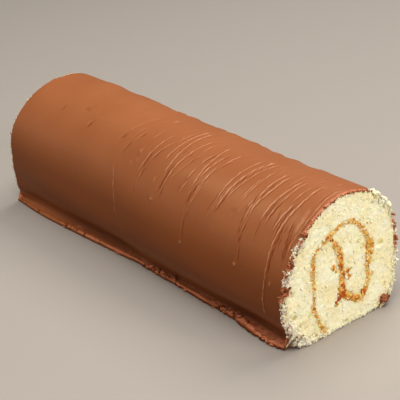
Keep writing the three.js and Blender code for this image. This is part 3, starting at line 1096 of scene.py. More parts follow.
    def trim(self, x: Array, around: Array) -> Array:
        """Squeezes X so that each end stops at its ragged rim."""
        steps = np.stack([around, 0 * around, 0 * around], -1)
        teeth = 0.30 * np.sin(1.9 * around) * np.sin(0.83 * around + 1)
        teeth = teeth + 0.28 * grain(steps, 1.3, 9.0)
        torn = 1 - smooth(around, 56, 70)
        near = Curve(self.near_rim).value(around) + teeth * (0.45 + 1.2 * torn)
        far = Curve(self.far_rim).value(around) + 0.7 * teeth
        near_share = smooth(x, FORM.half - 14, FORM.half)
        far_share = smooth(-x, FORM.half - 8, FORM.half)
        return x - near_share * near + far_share * far

    @staticmethod
    def rim_value(x: Array, around: Array) -> Array:
        """How thin or broken the ends are, and painted highlight on the foot, from 0 to 1."""
        out, half = -around, FORM.half
        near = smooth(x, half - 1.3, half - 0.1) * (0.55 + 0.3 * smooth(around, 52, 66))
        far = 0.7 * smooth(-x, half - 1.4, half - 0.1)
        flat = np.stack([x, around, 0 * x], -1)
        patchy = grain(flat, (6.0, 2.0, 1.0), 3.0) + 0.7 * grain(flat, (1.5, 0.8, 1.0), 6.0)
        # Painted highlight along the foot's outer edge, in patches.
        edge = hump(out, 5.9, 0.75) * (0.5 + 0.5 * smooth(x, -85, -55) + 0.5 * patchy)
        # The values named thin and top are painted highlight over the foot's top, which lifts the
        # shade under the roll's overhang.
        thin = 0.12 + 0.16 * smooth(x, -85, -60) + 0.22 * smooth(x, -40, -10)
        thin = thin + 0.16 * smooth(x, 60, 72) - 0.25 * hump(x, 33, 14)
        top = plateau(out, (0.8, 2.4), (5.6, 6.6)) * (thin + 0.45 * patchy)
        return np.clip(np.maximum.reduce([0.95 * near, far, edge, top]), 0, 1)

    @staticmethod
    def foot_shade(x: Array, around: Array) -> Array:
        """Painted shade on the foot's own side and in the gaps of its edge, as paint below 0."""
        out = -around
        side = plateau(out, (6.5, 7.3), (9.5, 11.0)) * (0.65 + 0.3 * smooth(x, 10, 40))
        flat = np.stack([x, around, 0 * x], -1)
        gaps = smooth(grain(flat, (2.2, 0.9, 1.0), 11.0), 0.05, 0.22) * hump(out, 4.6, 1.4)
        flaky = plateau(x, (56, 64), (97, 103)) + 0.8 * hump(x, 18.0, 9.0)
        flaky = flaky + 0.5 * hump(x, -66.0, 9.0) + 0.25
        return np.minimum(-side, -0.9 * gaps * np.clip(flaky, 0, 1))

    def outer_sheet(self, mesh: Mesh, columns: Array, rows: Array) -> None:
        """Adds the fine outer face, with its relief and its paint."""
        line, crease = self.skin
        outer, x, around = sheet_of_quads(mesh, columns, rows)
        flat = line.at(around + crease)
        out = turned_left(line.tangent(around + crease, 0.6))
        trimmed = self.trim(x, around)
        place = joined(trimmed, flat)
        lift, paint = self.brushed(trimmed, around, place)
        body = plateau(around, (1.0, 9.0), (rows[-1] - 16, rows[-1] - 6))
        foot_lift, foot_push = self.foot_relief(trimmed, around)
        thin_end = smooth(x, FORM.half - 1.2, FORM.half) * -0.55
        total = lift * body + foot_lift + thin_end * smooth(around, -2, 6)
        place[:, 1] += out[:, 0] * total + foot_push
        place[:, 2] = np.maximum(place[:, 2] + out[:, 1] * total, 0.0)
        place_vertices(outer, FORM.uneven(place))
        rim = self.rim_value(x, around)
        # The foot's painted shade: a contact shadow on its side and shade in gaps along its edge.
        paint = paint + self.foot_shade(x, around)
        # Painted light: a paler band round the upper side, stronger towards the near end, kept off
        # the dark marks.
        pale = 0.3 * smooth(x, -10, 50) * hump(around, 70, 8)
        paint = paint + pale * (1 - smooth(-paint, 0.0, 0.3))
        # Painted shade: the low side is darker from the crease to about halfway round, and so is the
        # crease towards the far end, less where the chocolate is broken.
        low = np.maximum(smooth(around, 5, 20), smooth(-x, 78, 112) * smooth(around, 1, 6))
        store(
            mesh, outer, rim=rim, line=np.clip(paint, -1, 1),
            low=low * (1 - smooth(around, 28, 56)) * (1 - rim),
            course=np.stack([trimmed - 0.17 * around, around, 0 * x], -1),
        )

    def inner_sheet(self, mesh: Mesh, columns: Array, rows: Array) -> None:
        """Adds the plain inner face, whose ends follow the same rims."""
        line = self.inner_line()
        inner, x, run = sheet_of_quads(
            mesh, np.linspace(columns[0], columns[-1], self.inner_columns),
            np.linspace(0.0, line.length, self.inner_rows),
        )
        around = run / line.length * (rows[-1] - rows[0]) + rows[0]
        trimmed = self.trim(x, around)
        place_vertices(inner, FORM.uneven(joined(trimmed, line.at(run))))
        course = np.stack([trimmed, around, 0 * x], -1)
        store(mesh, inner, rim=np.full(len(inner), 0.95), course=course)

    def build(self) -> None:
        """Builds the coat: a fine outer sheet, a plain inner one, and the rim between them."""
        line, crease = self.skin
        ends = (-crease, -1.0, 40.0, 108.0, line.length - crease)
        rows = steps_between(ends, self.row_steps)
        columns = steps_between(self.column_stops, self.column_steps)
        mesh = new_mesh("rim", "line", "low", vector="course")
        self.outer_sheet(mesh, columns, rows)
        self.inner_sheet(mesh, columns, rows)
        bmesh.ops.bridge_loops(mesh, edges=[edge for edge in mesh.edges if edge.is_boundary])
        finish_piece("coat_skin", mesh, self.material, "coat")


# ------------------------------------------------------------------------------ jam


@dataclass(frozen=True)
class JamCourse:
    """The jam's route in the section, from its mouth in the base to its inner end.

    A point of the route is Y, Z and how thick the jam is there.
    """

    route: Rows = (
        (-11.0, 1, 2.0), (-14.5, 8.2, 1.2), (-16.4, 13, 0.9), (-19.2, 18.2, 2.4),
        (-18.6, 23, 1.0), (-18.4, 29, 0.8), (-19, 35, 1.2), (-19.2, 40.8, 2.4),
        (-19.0, 46, 1.8), (-17.8, 49.4, 0.7), (-13.4, 52.6, 0.8), (-9.4, 54.6, 2.8),
        (-4.2, 57.2, 1.3), (0.6, 58.6, 1.1), (4.4, 58.8, 1.3), (7.8, 58.2, 1.9),
        (11.6, 55.2, 1.5), (16, 50, 2.0), (19.4, 45, 3.0), (21.2, 39.8, 4.6),
        (20.2, 33.6, 4.0), (19.2, 28, 2.2), (20.2, 22.4, 1.6), (18.9, 17.2, 2.0),
        (16.2, 13.6, 3.8), (12, 12.6, 3.6), (7.6, 15.2, 3.0), (2.0, 19.6, 4.2),
        (0.8, 25, 3.4), (1.4, 31, 3.4), (0.2, 36.6, 3.2), (-0.8, 42, 3.8),
        (-2.4, 46.8, 2.4), (-4.9, 50.6, 1.4),
    )
    thinnest: float = 0.7

    @cached_property
    def line(self) -> Curve:
        """The route with its thickness as a third coordinate."""
        return Curve(self.route)

    def side(self, distance: Array, share: Array | float, clear: Array | float = 0.0) -> Array:
        """Points beside the route.

        Args:
            distance: how far along the route.
            share: from -1 on its right to 1 on its left.
            clear: extra distance out from the jam.

        Returns:
            Rows of Y, Z.
        """
        here = self.line.at(distance)
        half = np.maximum(here[:, 2], self.thinnest) / 2 + clear
        left = turned_left(self.line.tangent(distance, 0.3))
        return here[:, :2] + left * (np.asarray(share) * half)[:, None]


COURSE = JamCourse()


def near_spots(section: Array, spots: Rows, flatness: float = 1.0) -> Array:
    """How near each Y, Z is to the nearest of some spots.

    Args:
        section: rows of Y, Z.
        spots: Y, Z and the reach of each spot.
        flatness: how much wider than high the spots are.

    Returns:
        One value from 0 to 1 for each row.
    """
    near = np.zeros(len(section))
    for y, z, reach in spots:
        gap = np.hypot(section[:, 0] - y, flatness * (section[:, 1] - z))
        near = np.maximum(near, hump(gap, 0.0, reach))
    return near


@dataclass
class JamLayer:
    """The strip of jam between the turns, open to view at both cut faces.

    A dark spot is its Y, Z and how far it reaches.
    """

    material: Material
    dark_spots: Rows = (
        (1.5, 19.6, 3.2), (17.5, 14.5, 2.4), (21.5, 13.5, 1.6), (2.6, 29.6, 1.6), (6, 32, 1.2),
        (0.2, 40.0, 1.2), (-19, 41.5, 1.1), (21, 35.5, 1.5), (-9.5, 55.0, 0.9), (-18.8, 19, 1.2),
        (7.6, 15.2, 1.5), (0.8, 25.0, 1.6), (0.2, 36.2, 1.3), (11.5, 12.8, 1.5), (1.2, 31.0, 1.0),
    )
    long_step: float = 0.42
    across_steps: int = 9

    def end_sheet(self, mesh: Mesh, end: float) -> None:
        """Adds the lumpy face at one end: 1 for the near one and -1 for the far one."""
        length = COURSE.line.length
        along = np.linspace(0.0, length, round(length / self.long_step) + 1)
        across = np.linspace(-1.0, 1.0, self.across_steps + 1)
        made, distance, share = sheet_of_quads(mesh, along, across)
        solid = joined(40.0 * end, COURSE.side(distance, share))
        ragged = grain(solid, 1.7, 1.0) + 0.8 * grain(solid, 0.8, 7.0)
        section = COURSE.side(distance, share, 0.22 + 0.75 * ragged)
        dark = near_spots(section, self.dark_spots) * (1.0 if end > 0 else 0.4)
        lumpy = 0.55 * grain(solid, 1.2, 3.0) + 0.3 * grain(solid, 0.6, 4.0)
        crown = 0.45 * (1 - share**2) * (0.6 + dark)
        place = joined(end * (FORM.half - 0.5 + crown + lumpy), section)
        place[:, 2] = np.maximum(place[:, 2], 0.1)
        place_vertices(made, place)
        store(mesh, made, thick=np.clip(dark + 0.8 * grain(solid, 1.3, 5.0), 0, 1))

    def build(self) -> None:
        """Builds the strip: two lumpy ends and plain sides through the roll."""
        mesh = new_mesh("thick")
        for end in (1.0, -1.0):
            self.end_sheet(mesh, end)
        bmesh.ops.bridge_loops(mesh, edges=[edge for edge in mesh.edges if edge.is_boundary])
        cut_across(mesh, FORM.cuts())
        place_vertices(mesh.verts[:], FORM.uneven(positions(mesh.verts)))
        finish_piece("jam_layer", mesh, self.material, "jam")


@dataclass
class JamClots:
    """Small clots of jam: scattered along the strip, and in patches beside it.

    A patch is Y, Z, its half width and height, how dark it is, and how many clots it holds.
    """

    material: Material
    along_count: int = 430
    seed: int = 3
    patches: Rows = (
        (-0.2, 18.6, 2.2, 2.2, 0.95, 18), (-2.8, 15.4, 0.9, 1.8, 0.3, 7),
        (1.2, 22.5, 1.8, 1.6, 0.6, 9), (17.0, 14.6, 2.4, 2.0, 0.85, 16),
        (11.5, 12.6, 3.0, 1.6, 0.3, 14), (6.0, 15.8, 2.4, 1.6, 0.4, 12),
        (-4.9, 35.6, 2.2, 2.2, 0.1, 16), (5.4, 31.8, 2.2, 1.0, 0.5, 10),
        (5.6, 27.4, 1.4, 1.6, 0.1, 8), (1.0, 31.5, 2.0, 2.6, 0.4, 14),
        (20.9, 38.5, 2.4, 4.2, 0.25, 26), (19.6, 31.0, 1.6, 2.6, 0.3, 12),
        (22.6, 23.0, 1.4, 1.4, 0.1, 6), (-11.0, 53.6, 1.8, 1.2, 0.2, 9),
        (-7.6, 55.6, 1.6, 1.0, 0.4, 8), (-6.6, 52.4, 1.2, 1.2, 0.3, 7),
        (-3.6, 48.6, 1.4, 1.8, 0.3, 9), (-8.8, 53.8, 1.0, 0.8, 0.3, 5),
        (7.2, 58.8, 1.6, 0.9, 0.1, 7), (13.2, 54.6, 0.6, 0.5, 0.9, 3),
        (15.6, 52.4, 0.6, 0.5, 0.8, 3), (-19.2, 43.6, 1.0, 3.2, 0.5, 12),
        (-19.8, 19.6, 1.2, 1.6, 0.3, 7), (-12.2, 4.2, 1.4, 1.8, 0.2, 9),
        (13.0, 57.0, 0.5, 0.4, 0.7, 2), (18.4, 54.0, 0.5, 0.5, 0.9, 2),
    )

    def spots(self, draw: np.random.Generator) -> Iterator[tuple[float, ...]]:
        """The end, Y, Z, size and darkness of each clot."""
        line = COURSE.line
        for index in range(self.along_count):
            distance = np.array([draw.uniform(0, line.length)])
            y, z = COURSE.side(distance, draw.normal() * 0.6, 0.05)[0]
            thick = float(line.at(distance)[0, 2])
            size = draw.uniform(0.3, 0.35 + 0.16 * min(thick, 3.5))
            yield 1.0 if index % 4 else -1.0, y, z, size, draw.uniform(-0.3, 0.7)
        for y, z, wide, high, dark, count in self.patches:
            for _ in range(count):
                turn, reach = draw.uniform(0, 2 * math.pi), math.sqrt(draw.uniform(0, 1))
                middle = y + wide * reach * math.cos(turn), z + high * reach * math.sin(turn)
                yield 1.0, *middle, draw.uniform(0.4, 0.95), dark + draw.normal() * 0.25

    def build(self) -> None:
        """Builds the clots as flat lumps half sunk into the face."""
        draw = np.random.default_rng(self.seed)
        lumps = []
        # The list draws every place before the first shape.
        for end, y, z, size, dark in list(self.spots(draw)):
            x = end * (FORM.half - 0.42 + 0.18 * draw.normal())
            wide, high = size * draw.uniform(0.7, 1.4), size * draw.uniform(0.6, 1.1)
            turn = (draw.uniform(-1.5, 1.5), 0.0, 0.01)
            middle, shade = FORM.spot(x, (y, z), 0.8), (bounded(dark, 0.0, 1.0),)
            lumps.append(Lump(middle, (0.45 * size, wide, high), turn, 0.6, shade))
        lumps_piece("jam_clots", lumps, ("thick",), self.material)


# ------------------------------------------------------------------------------ sponge


@dataclass
class Sponge:
    """The rolled sponge, with an open crumb at both cut faces.

    The flare is how far the near rim swells out, by the distance round the coat. A pit is its
    Y, Z, its reach and its depth. A streak of dense sponge is its Y, Z and its reach. Places
    nearer to a cut face than on_face belong to it.
    """

    material: Material
    coat: ChocolateCoat
    cell: float = 0.48
    ring_depths: tuple[float, ...] = (0.5, 1.1, 1.8, 2.7, 3.9, 5.4)
    on_face: float = 1e-3
    flare_depth: float = 2.6
    flare: Rows = (
        (-16, 0.9), (0, 1.2), (8, 1.7), (30, 1.7), (34, 0.6), (38, 1.5), (45, 1.4), (48, 0.4),
        (51, 1.3), (57, 1.6), (60, 1.3), (64, 0.5), (75, 0.5), (95, 0.4), (112, 0.5), (121, 1.8),
        (137, 1.9), (141, 0.6), (150, 0.4), (160, 0.5), (165, 1.7), (186, 1.7), (192, 0.4),
        (215, 0.3),
    )
    pits: Rows = (
        (-31.6, 9.0, 1.3, 2.6), (-29.6, 5.8, 1.5, 2.4), (-25.2, 4.6, 1.0, 1.6),
        (-34.5, 20.0, 1.4, 0.9), (-31.5, 18.6, 1.6, 1.0), (-27.6, 12.4, 1.2, 0.8),
        (-36.4, 34.6, 2.0, 3.0), (-33.0, 32.2, 1.6, 2.0), (-35.2, 46.2, 1.4, 2.2),
        (-29.5, 56.0, 1.1, 1.4), (-26.5, 60.6, 1.0, 1.2), (-18.5, 3.8, 1.0, 1.2),
        (-9.0, 2.6, 1.1, 1.2), (4.5, 2.2, 1.2, 1.0), (16.0, 2.6, 1.0, 1.0),
        (-24.0, 9.8, 1.4, 1.3), (28.4, 38.5, 1.2, 0.8), (9.8, 40.5, 0.9, 1.0),
        (11.6, 44.4, 0.8, 0.8), (22.0, 64.0, 0.8, 0.8), (26.5, 60.5, 0.9, 1.0),
        (-1.5, 23.0, 0.8, 0.7), (16.0, 71.0, 0.7, 0.7), (6.0, 72.0, 0.6, 0.6),
    )
    streaks: Rows = (
        (-32.3, 18.7, 2.4), (-30.6, 13.1, 1.7), (16.1, 41.8, 2.0), (28.6, 39.6, 2.4),
        (22.9, 22.5, 2.0), (-21.8, 16.2, 1.6), (-19.6, 1.5, 1.8), (12.9, 45.4, 1.7),
        (23.8, 30.0, 1.6), (9.8, 40.5, 1.6),
    )

    @staticmethod
    def section() -> Array:
        """The sponge's section as a closed line: the outline, then round the jam."""
        shell = FORM.grown(FORM.seam - 0.05)
        shell = shell[shell[:, 1] > 0]
        along = np.linspace(0.0, COURSE.line.length, 500)
        right, left = (COURSE.side(along, share, 0.05) for share in (-1.0, 1.0))
        base = np.array([1.0, 0.0])
        return np.concatenate([
            [shell[0] * base], shell, [shell[-1] * base], [right[0] * base], right, left[::-1],
            [left[0] * base],
        ])

    def face_sheet(self, mesh: Mesh) -> None:
        """Fills the section with small squares whose edge follows the outline and the jam."""
        line = self.section()
        low, high = line.min(0) - self.cell, line.max(0) + self.cell
        columns = steps_between((low[0], high[0]), (self.cell,))
        rows = steps_between((low[1], high[1]), (self.cell,))
        made, across, up = sheet_of_quads(mesh, columns, rows)
        place_vertices(made, np.stack([np.full(len(across), FORM.half), across, up], -1))
        middles = np.array([face.calc_center_median()[:] for face in mesh.faces])[:, 1:]
        inside = beside_closed(middles, line)[1]
        outside = [face for face, within in zip(mesh.faces[:], inside) if not within]
        bmesh.ops.delete(mesh, geom=outside, context="FACES")
        rim = [vertex for vertex in mesh.verts if vertex.is_boundary]
        place = positions(rim)
        place[:, 1:] = beside_closed(place[:, 1:], line)[0]
        place_vertices(rim, place)
        beside = {edge.other_vert(vertex) for vertex in rim for edge in vertex.link_edges}
        band = list(beside.difference(rim))
        for _ in range(3):
            bmesh.ops.smooth_vert(
                mesh, verts=band, factor=0.5, use_axis_x=False, use_axis_y=True, use_axis_z=True
            )

    def crumb(self, place: Array, end: float, rim: Array, close: Array) -> tuple[Array, Array]:
        """The open crumb of a cut face.

        Args:
            place: rows of X, Y, Z on the face.
            end: 1 for the near face and -1 for the far one.
            rim: 1 at the outline, down to 0 a little way in.
            close: how close and even the crumb is, from 0 to 1.

        Returns:
            How far each place lies back, and how deep it lies in a hole, from 0 to 1, which the
            finish paints as shade.
        """
        flat = place * (0, 1, 1) + (57.0 * end, 0, 0)
        swell = 0.32 * grain(flat, 7.5, 1.0) + 0.24 * grain(flat, 2.6, 2.0)
        clumps = 0.42 * (cells(flat, 1.9, 3.0) - 0.45)
        holes = smooth(0.36 - cells(flat, 2.9, 6.0), 0.0, 0.22)
        scatter = smooth(grain(flat, 6.0, 9.0), -0.25, 0.35)
        pores = holes * scatter * (1 - 0.6 * close)
        back = 0.45 + swell + clumps + 0.85 * pores + 0.55 * rim**2
        hollow = np.clip(0.8 * pores + 0.5 * smooth(clumps, 0.02, 0.25), 0, 1)
        # The pits lie further back, and their hollow value darkens them with painted shade.
        if end > 0:
            for y, z, reach, depth in self.pits:
                pit = hump(np.hypot(place[:, 1] - y, (place[:, 2] - z) * 1.25), 0, reach)
                back = back + depth * pit
                hollow = np.clip(hollow + 0.55 * pit, 0, 1)
        return back, hollow

    def flared(self, place: Array, depth: Array, rim: Array, around: Array) -> Array:
        """Swells the ragged rims out past the plain outline.

        Args:
            place: rows of X, Y, Z.
            depth: how far each place is from the nearer cut face.
            rim: 1 at the outline, down to 0 a little way in.
            around: the distance of each place round the coat.

        Returns:
            The moved places.
        """
        ragged = 0.6 * grain(place, 1.7, 2.0) + 0.6 * grain(place, 0.8, 5.0)
        flare = np.where(place[:, 0] > 0, Curve(self.flare).value(around), 1.0)
        bulge = (1 - smooth(depth, 0.6, self.flare_depth)) * (flare + ragged * (0.6 + 0.6 * flare))
        exposed = (1 - smooth(depth, 1.5, 3.5)) * smooth(-place[:, 1], 10, 20)
        bulge = bulge + (depth >= self.on_face) * exposed * (0.25 + 0.45 * ragged)
        lift = rim * bulge * smooth(place[:, 2], 0.5, 4.0)
        out = place[:, 1:] - (0.0, 0.52 * FORM.height)
        out /= np.maximum(np.linalg.norm(out, axis=1, keepdims=True), 1e-6)
        return joined(place[:, 0], place[:, 1:] + out * lift[:, None])

    @staticmethod
    def stain(section: Array) -> Array:
        """How strongly jam has soaked in at each Y, Z: along its strip, and at one low spot."""
        jam = COURSE.line.points[::6]
        index, gap = nearest_on(section, jam[:, :2])
        low_spot = hump(np.hypot(section[:, 0] - 26, section[:, 1] - 5), 0.0, 5.0)
        return 0.95 * hump(gap, 0.0, 1.3 + 0.75 * jam[index, 2]) + 0.45 * low_spot

    def walls(self, mesh: Mesh) -> None:
        """Draws the near face out into a solid, and cuts rings and stretches round its walls."""
        grown = bmesh.ops.extrude_face_region(
            mesh, geom=mesh.faces[:] + mesh.edges[:] + mesh.verts[:], use_keep_orig=True
        )["geom"]
        far = [item for item in grown if isinstance(item, bmesh.types.BMVert)]
        bmesh.ops.translate(mesh, verts=far, vec=(-FORM.length, 0, 0))
        for depth in self.ring_depths:
            cut_across(mesh, (FORM.half - depth, depth - FORM.half))
        cut_across(mesh, FORM.cuts())

    def build(self) -> None:
        """Builds the sponge from one cut face to the other."""
        mesh = new_mesh("hollow", "stain", "blush", "close", "dense")
        self.face_sheet(mesh)
        self.walls(mesh)
        place = positions(mesh.verts)
        section, near = place[:, 1:], place[:, 0] > 0
        outline = FORM.outline()
        gap = nearest_on(section, outline.at(np.linspace(0, outline.length, 700)))[1]
        rim = 1 - smooth(gap, 0.0, 1.6)
        close = smooth(gap + 3 * grain(place, 9.0, 4.0), 2.5, 11.0)
        around = self.coat.around(section)
        depth = FORM.half - np.abs(place[:, 0])
        moved = self.flared(place, depth, rim, around)
        hollow = np.zeros(len(place))
        for end in (1.0, -1.0):
            face = (depth < self.on_face) & (place[:, 0] * end > 0)
            back, hollow[face] = self.crumb(place[face], end, rim[face], close[face])
            moved[face, 0] -= end * back
        moved[:, 2] = np.maximum(moved[:, 2], 0.0)
        place_vertices(mesh.verts[:], FORM.uneven(moved))
        store(
            mesh, mesh.verts[:], hollow=hollow, stain=self.stain(section), close=close,
            dense=near_spots(section, self.streaks, 1.4) * near,
            blush=0.5 * rim * hump(around, 32, 32) * near,
        )
        finish_piece("sponge_roll", mesh, self.material, "sponge")


# ------------------------------------------------------------------------------ crumbs and flakes


@dataclass
class RimCrumbs:
    """Crumbs that stand out round the cut faces, and the torn lumps of the low corner.

    A stretch is where it starts and ends round the coat, how many crumbs it holds, and the
    largest of them. The hem is the same along the base, by Y. A tongue runs from one place to
    another with its own thickness. A corner lump is its middle and three half sizes.
    """

    material: Material
    coat: ChocolateCoat
    seed: int = 11
    stretches: Rows = (
        (2, 30, 110, 0.9), (38, 47, 60, 0.7), (50, 63, 66, 0.65), (64, 118, 16, 0.35),
        (118, 138, 60, 0.85), (138, 164, 24, 0.5), (164, 190, 40, 0.7), (190, 212, 20, 0.7),
    )
    far_count: int = 30
    corner_count: int = 7
    hem: Rows = ((-26, -8, 50, 0.9), (-8, 26, 34, 0.6))
    tongues: tuple[tuple[Triple, Triple, float], ...] = (
        ((124.9, -31.4, 57.2), (124.9, -25.8, 56.6), 0.6),
        ((124.7, -30.2, 58.4), (124.7, -26.4, 58.0), 0.5),
        ((124.9, -38.8, 38.4), (124.9, -34.0, 42.0), 1.0),
        ((124.7, -37.0, 40.8), (124.7, -33.4, 43.0), 0.8),
        ((124.7, -32.4, 55.0), (124.7, -31.6, 50.0), 0.7),
        ((124.7, -34.4, 44.4), (124.7, -33.2, 47.4), 0.6),
        ((119.6, -34.8, 0.6), (122.4, -34.2, 4.4), 0.55),
        ((122.2, -34.2, 4.2), (124.2, -33.8, 8.6), 0.6),
    )
    corner: Rows = (
        (123.4, -27.4, 2.6, 1.9, 2.4, 2.2), (124.2, -24.0, 2.2, 1.6, 2.2, 1.8),
        (123.8, -32.8, 12.2, 1.4, 1.9, 2.0), (123.6, -33.8, 14.6, 1.4, 1.8, 2.0),
        (124.4, -20.2, 1.8, 1.3, 1.8, 1.5), (122.0, -30.4, 3.0, 1.3, 1.6, 2.2),
        (124.4, -26.2, 5.4, 1.1, 1.5, 1.2), (124.2, -28.4, 8.4, 1.2, 1.3, 1.5),
        (122.4, -33.6, 8.8, 1.2, 1.5, 2.4), (124.4, -15.6, 1.6, 1.1, 1.4, 1.3),
    )

    def along_the_rims(self, draw: np.random.Generator) -> Iterator[Lump]:
        """Crumbs round both rims. Only the near one's low side is smeared with chocolate."""
        crumbs = [
            (1.0, draw.uniform(start, stop), largest)
            for start, stop, count, largest in self.stretches
            for _ in range(count)
        ]
        crumbs += [(-1.0, draw.uniform(0, 205), 0.6) for _ in range(self.far_count)]
        for end, around, largest in crumbs:
            size = draw.uniform(0.3, largest)
            out = draw.uniform(-3.2, 0.15 * largest if end > 0 else -0.6)
            x = end * (FORM.half + 0.1 - abs(draw.normal()) * 0.7)
            middle = FORM.spot(x, self.coat.beside(around, out)[0], size * 0.7)
            radii = size * np.array([1.0, draw.uniform(0.7, 2.0), draw.uniform(0.4, 0.9)])
            low_side = smooth(-middle[1], 12, 26) * (x > 0)
            smear = 0.8 * draw.choice([0.0, 0.2, 0.9]) * low_side
            yield Lump(middle, radii, draw.normal(size=3), 1.1, (smear,))

    def torn_corner(self, draw: np.random.Generator) -> Iterator[Lump]:
        """The torn lumps, each with a few crumbs that stick to it."""
        for index, row in enumerate(self.corner):
            middle, sizes = np.array(row[:3]), np.array(row[3:])
            turn = (0.3 * math.sin(index), 0.2, 0.3 * math.cos(2 * index))
            yield Lump(middle, sizes, turn, 1.0, (0.35,))
            for _ in range(self.corner_count):
                way = unit(draw.normal(size=3))
                way[0] = abs(way[0])
                crumb = middle + way * sizes * 0.95
                crumb[2] = max(crumb[2], 0.4)
                radii = draw.uniform(0.35, 0.8) * np.array([1.0, draw.uniform(0.7, 1.7), 0.7])
                smear = draw.choice([0.0, 0.0, 0.5])
                yield Lump(crumb, radii, draw.normal(size=3), 1.1, (smear,))

    def along_the_base(self, draw: np.random.Generator) -> Iterator[Lump]:
        """Crumbs along the near face's lower edge."""
        for start, stop, count, largest in self.hem:
            for _ in range(count):
                size = draw.uniform(0.35, largest)
                y, z = draw.uniform(start, stop), 0.6 * size + abs(draw.normal()) * 0.9
                radii = size * np.array([1.0, draw.uniform(0.7, 1.5), draw.uniform(0.5, 0.9)])
                smear = draw.choice([0.0, 0.0, 0.35]) * (y < -15)
                middle = (FORM.half + 0.25 - abs(draw.normal()) * 0.5, y, z)
                yield Lump(middle, radii, draw.normal(size=3), 1.0, (smear,))

    def torn_tongues(self) -> Iterator[Lump]:
        """Long lumps of torn sponge."""
        for start, stop, thick in self.tongues:
            run, middle = Vector(stop) - Vector(start), (Vector(start) + Vector(stop)) / 2
            axis, angle = Vector((0, 1, 0)).rotation_difference(run).to_axis_angle()
            yield Lump(middle, (thick, 0.62 * run.length, 0.8 * thick), axis * angle, 0.9, (0.5,))

    def build(self) -> None:
        """Builds all the crumbs as one piece of closed lumps."""
        draw = np.random.default_rng(self.seed)
        lumps = [
            *self.along_the_rims(draw), *self.torn_corner(draw), *self.along_the_base(draw),
            *self.torn_tongues(),
        ]
        lumps_piece("rim_crumbs", lumps, ("blush",), self.material, rounds=3)


@dataclass
class FaceCrumbs:
    """Loose crumbs of sponge on the two cut faces, some of them over the jam's edges."""

    material: Material
    count: int = 620
    jam_count: int = 260
    seed: int = 17

    def build(self) -> None:
        """Builds all the crumbs as one piece of closed lumps."""
        draw = np.random.default_rng(self.seed)
        tries = 2 * self.count
        spots = np.column_stack([draw.uniform(-38, 38, tries), draw.uniform(1, 72, tries)])
        inside = beside_closed(spots, FORM.grown(-1.0))[1]
        spots = list(spots[inside][:self.count])
        loose = len(spots)
        for _ in range(self.jam_count):
            share = draw.choice([-1.0, 1.0]) * draw.uniform(0.5, 1.2)
            distance = draw.uniform(0, COURSE.line.length, 1)
            spots.append(COURSE.side(distance, share, 0.3)[0])
        lumps = []
        for index, spot in enumerate(spots):
            end = 1.0 if index % 5 < 3 else -1.0
            size = draw.uniform(0.25, 0.62)
            x = end * (FORM.half - 0.45 + 0.25 * draw.normal())
            radii = size * draw.uniform(0.6, 1.4, 3)
            stain = 0.6 * draw.uniform() if index >= loose else 0.0
            middle = FORM.spot(x, spot, 0.7)
            lumps.append(Lump(middle, radii, draw.normal(size=3), 0.7, (stain,)))
        lumps_piece("face_crumbs", lumps, ("stain",), self.material)


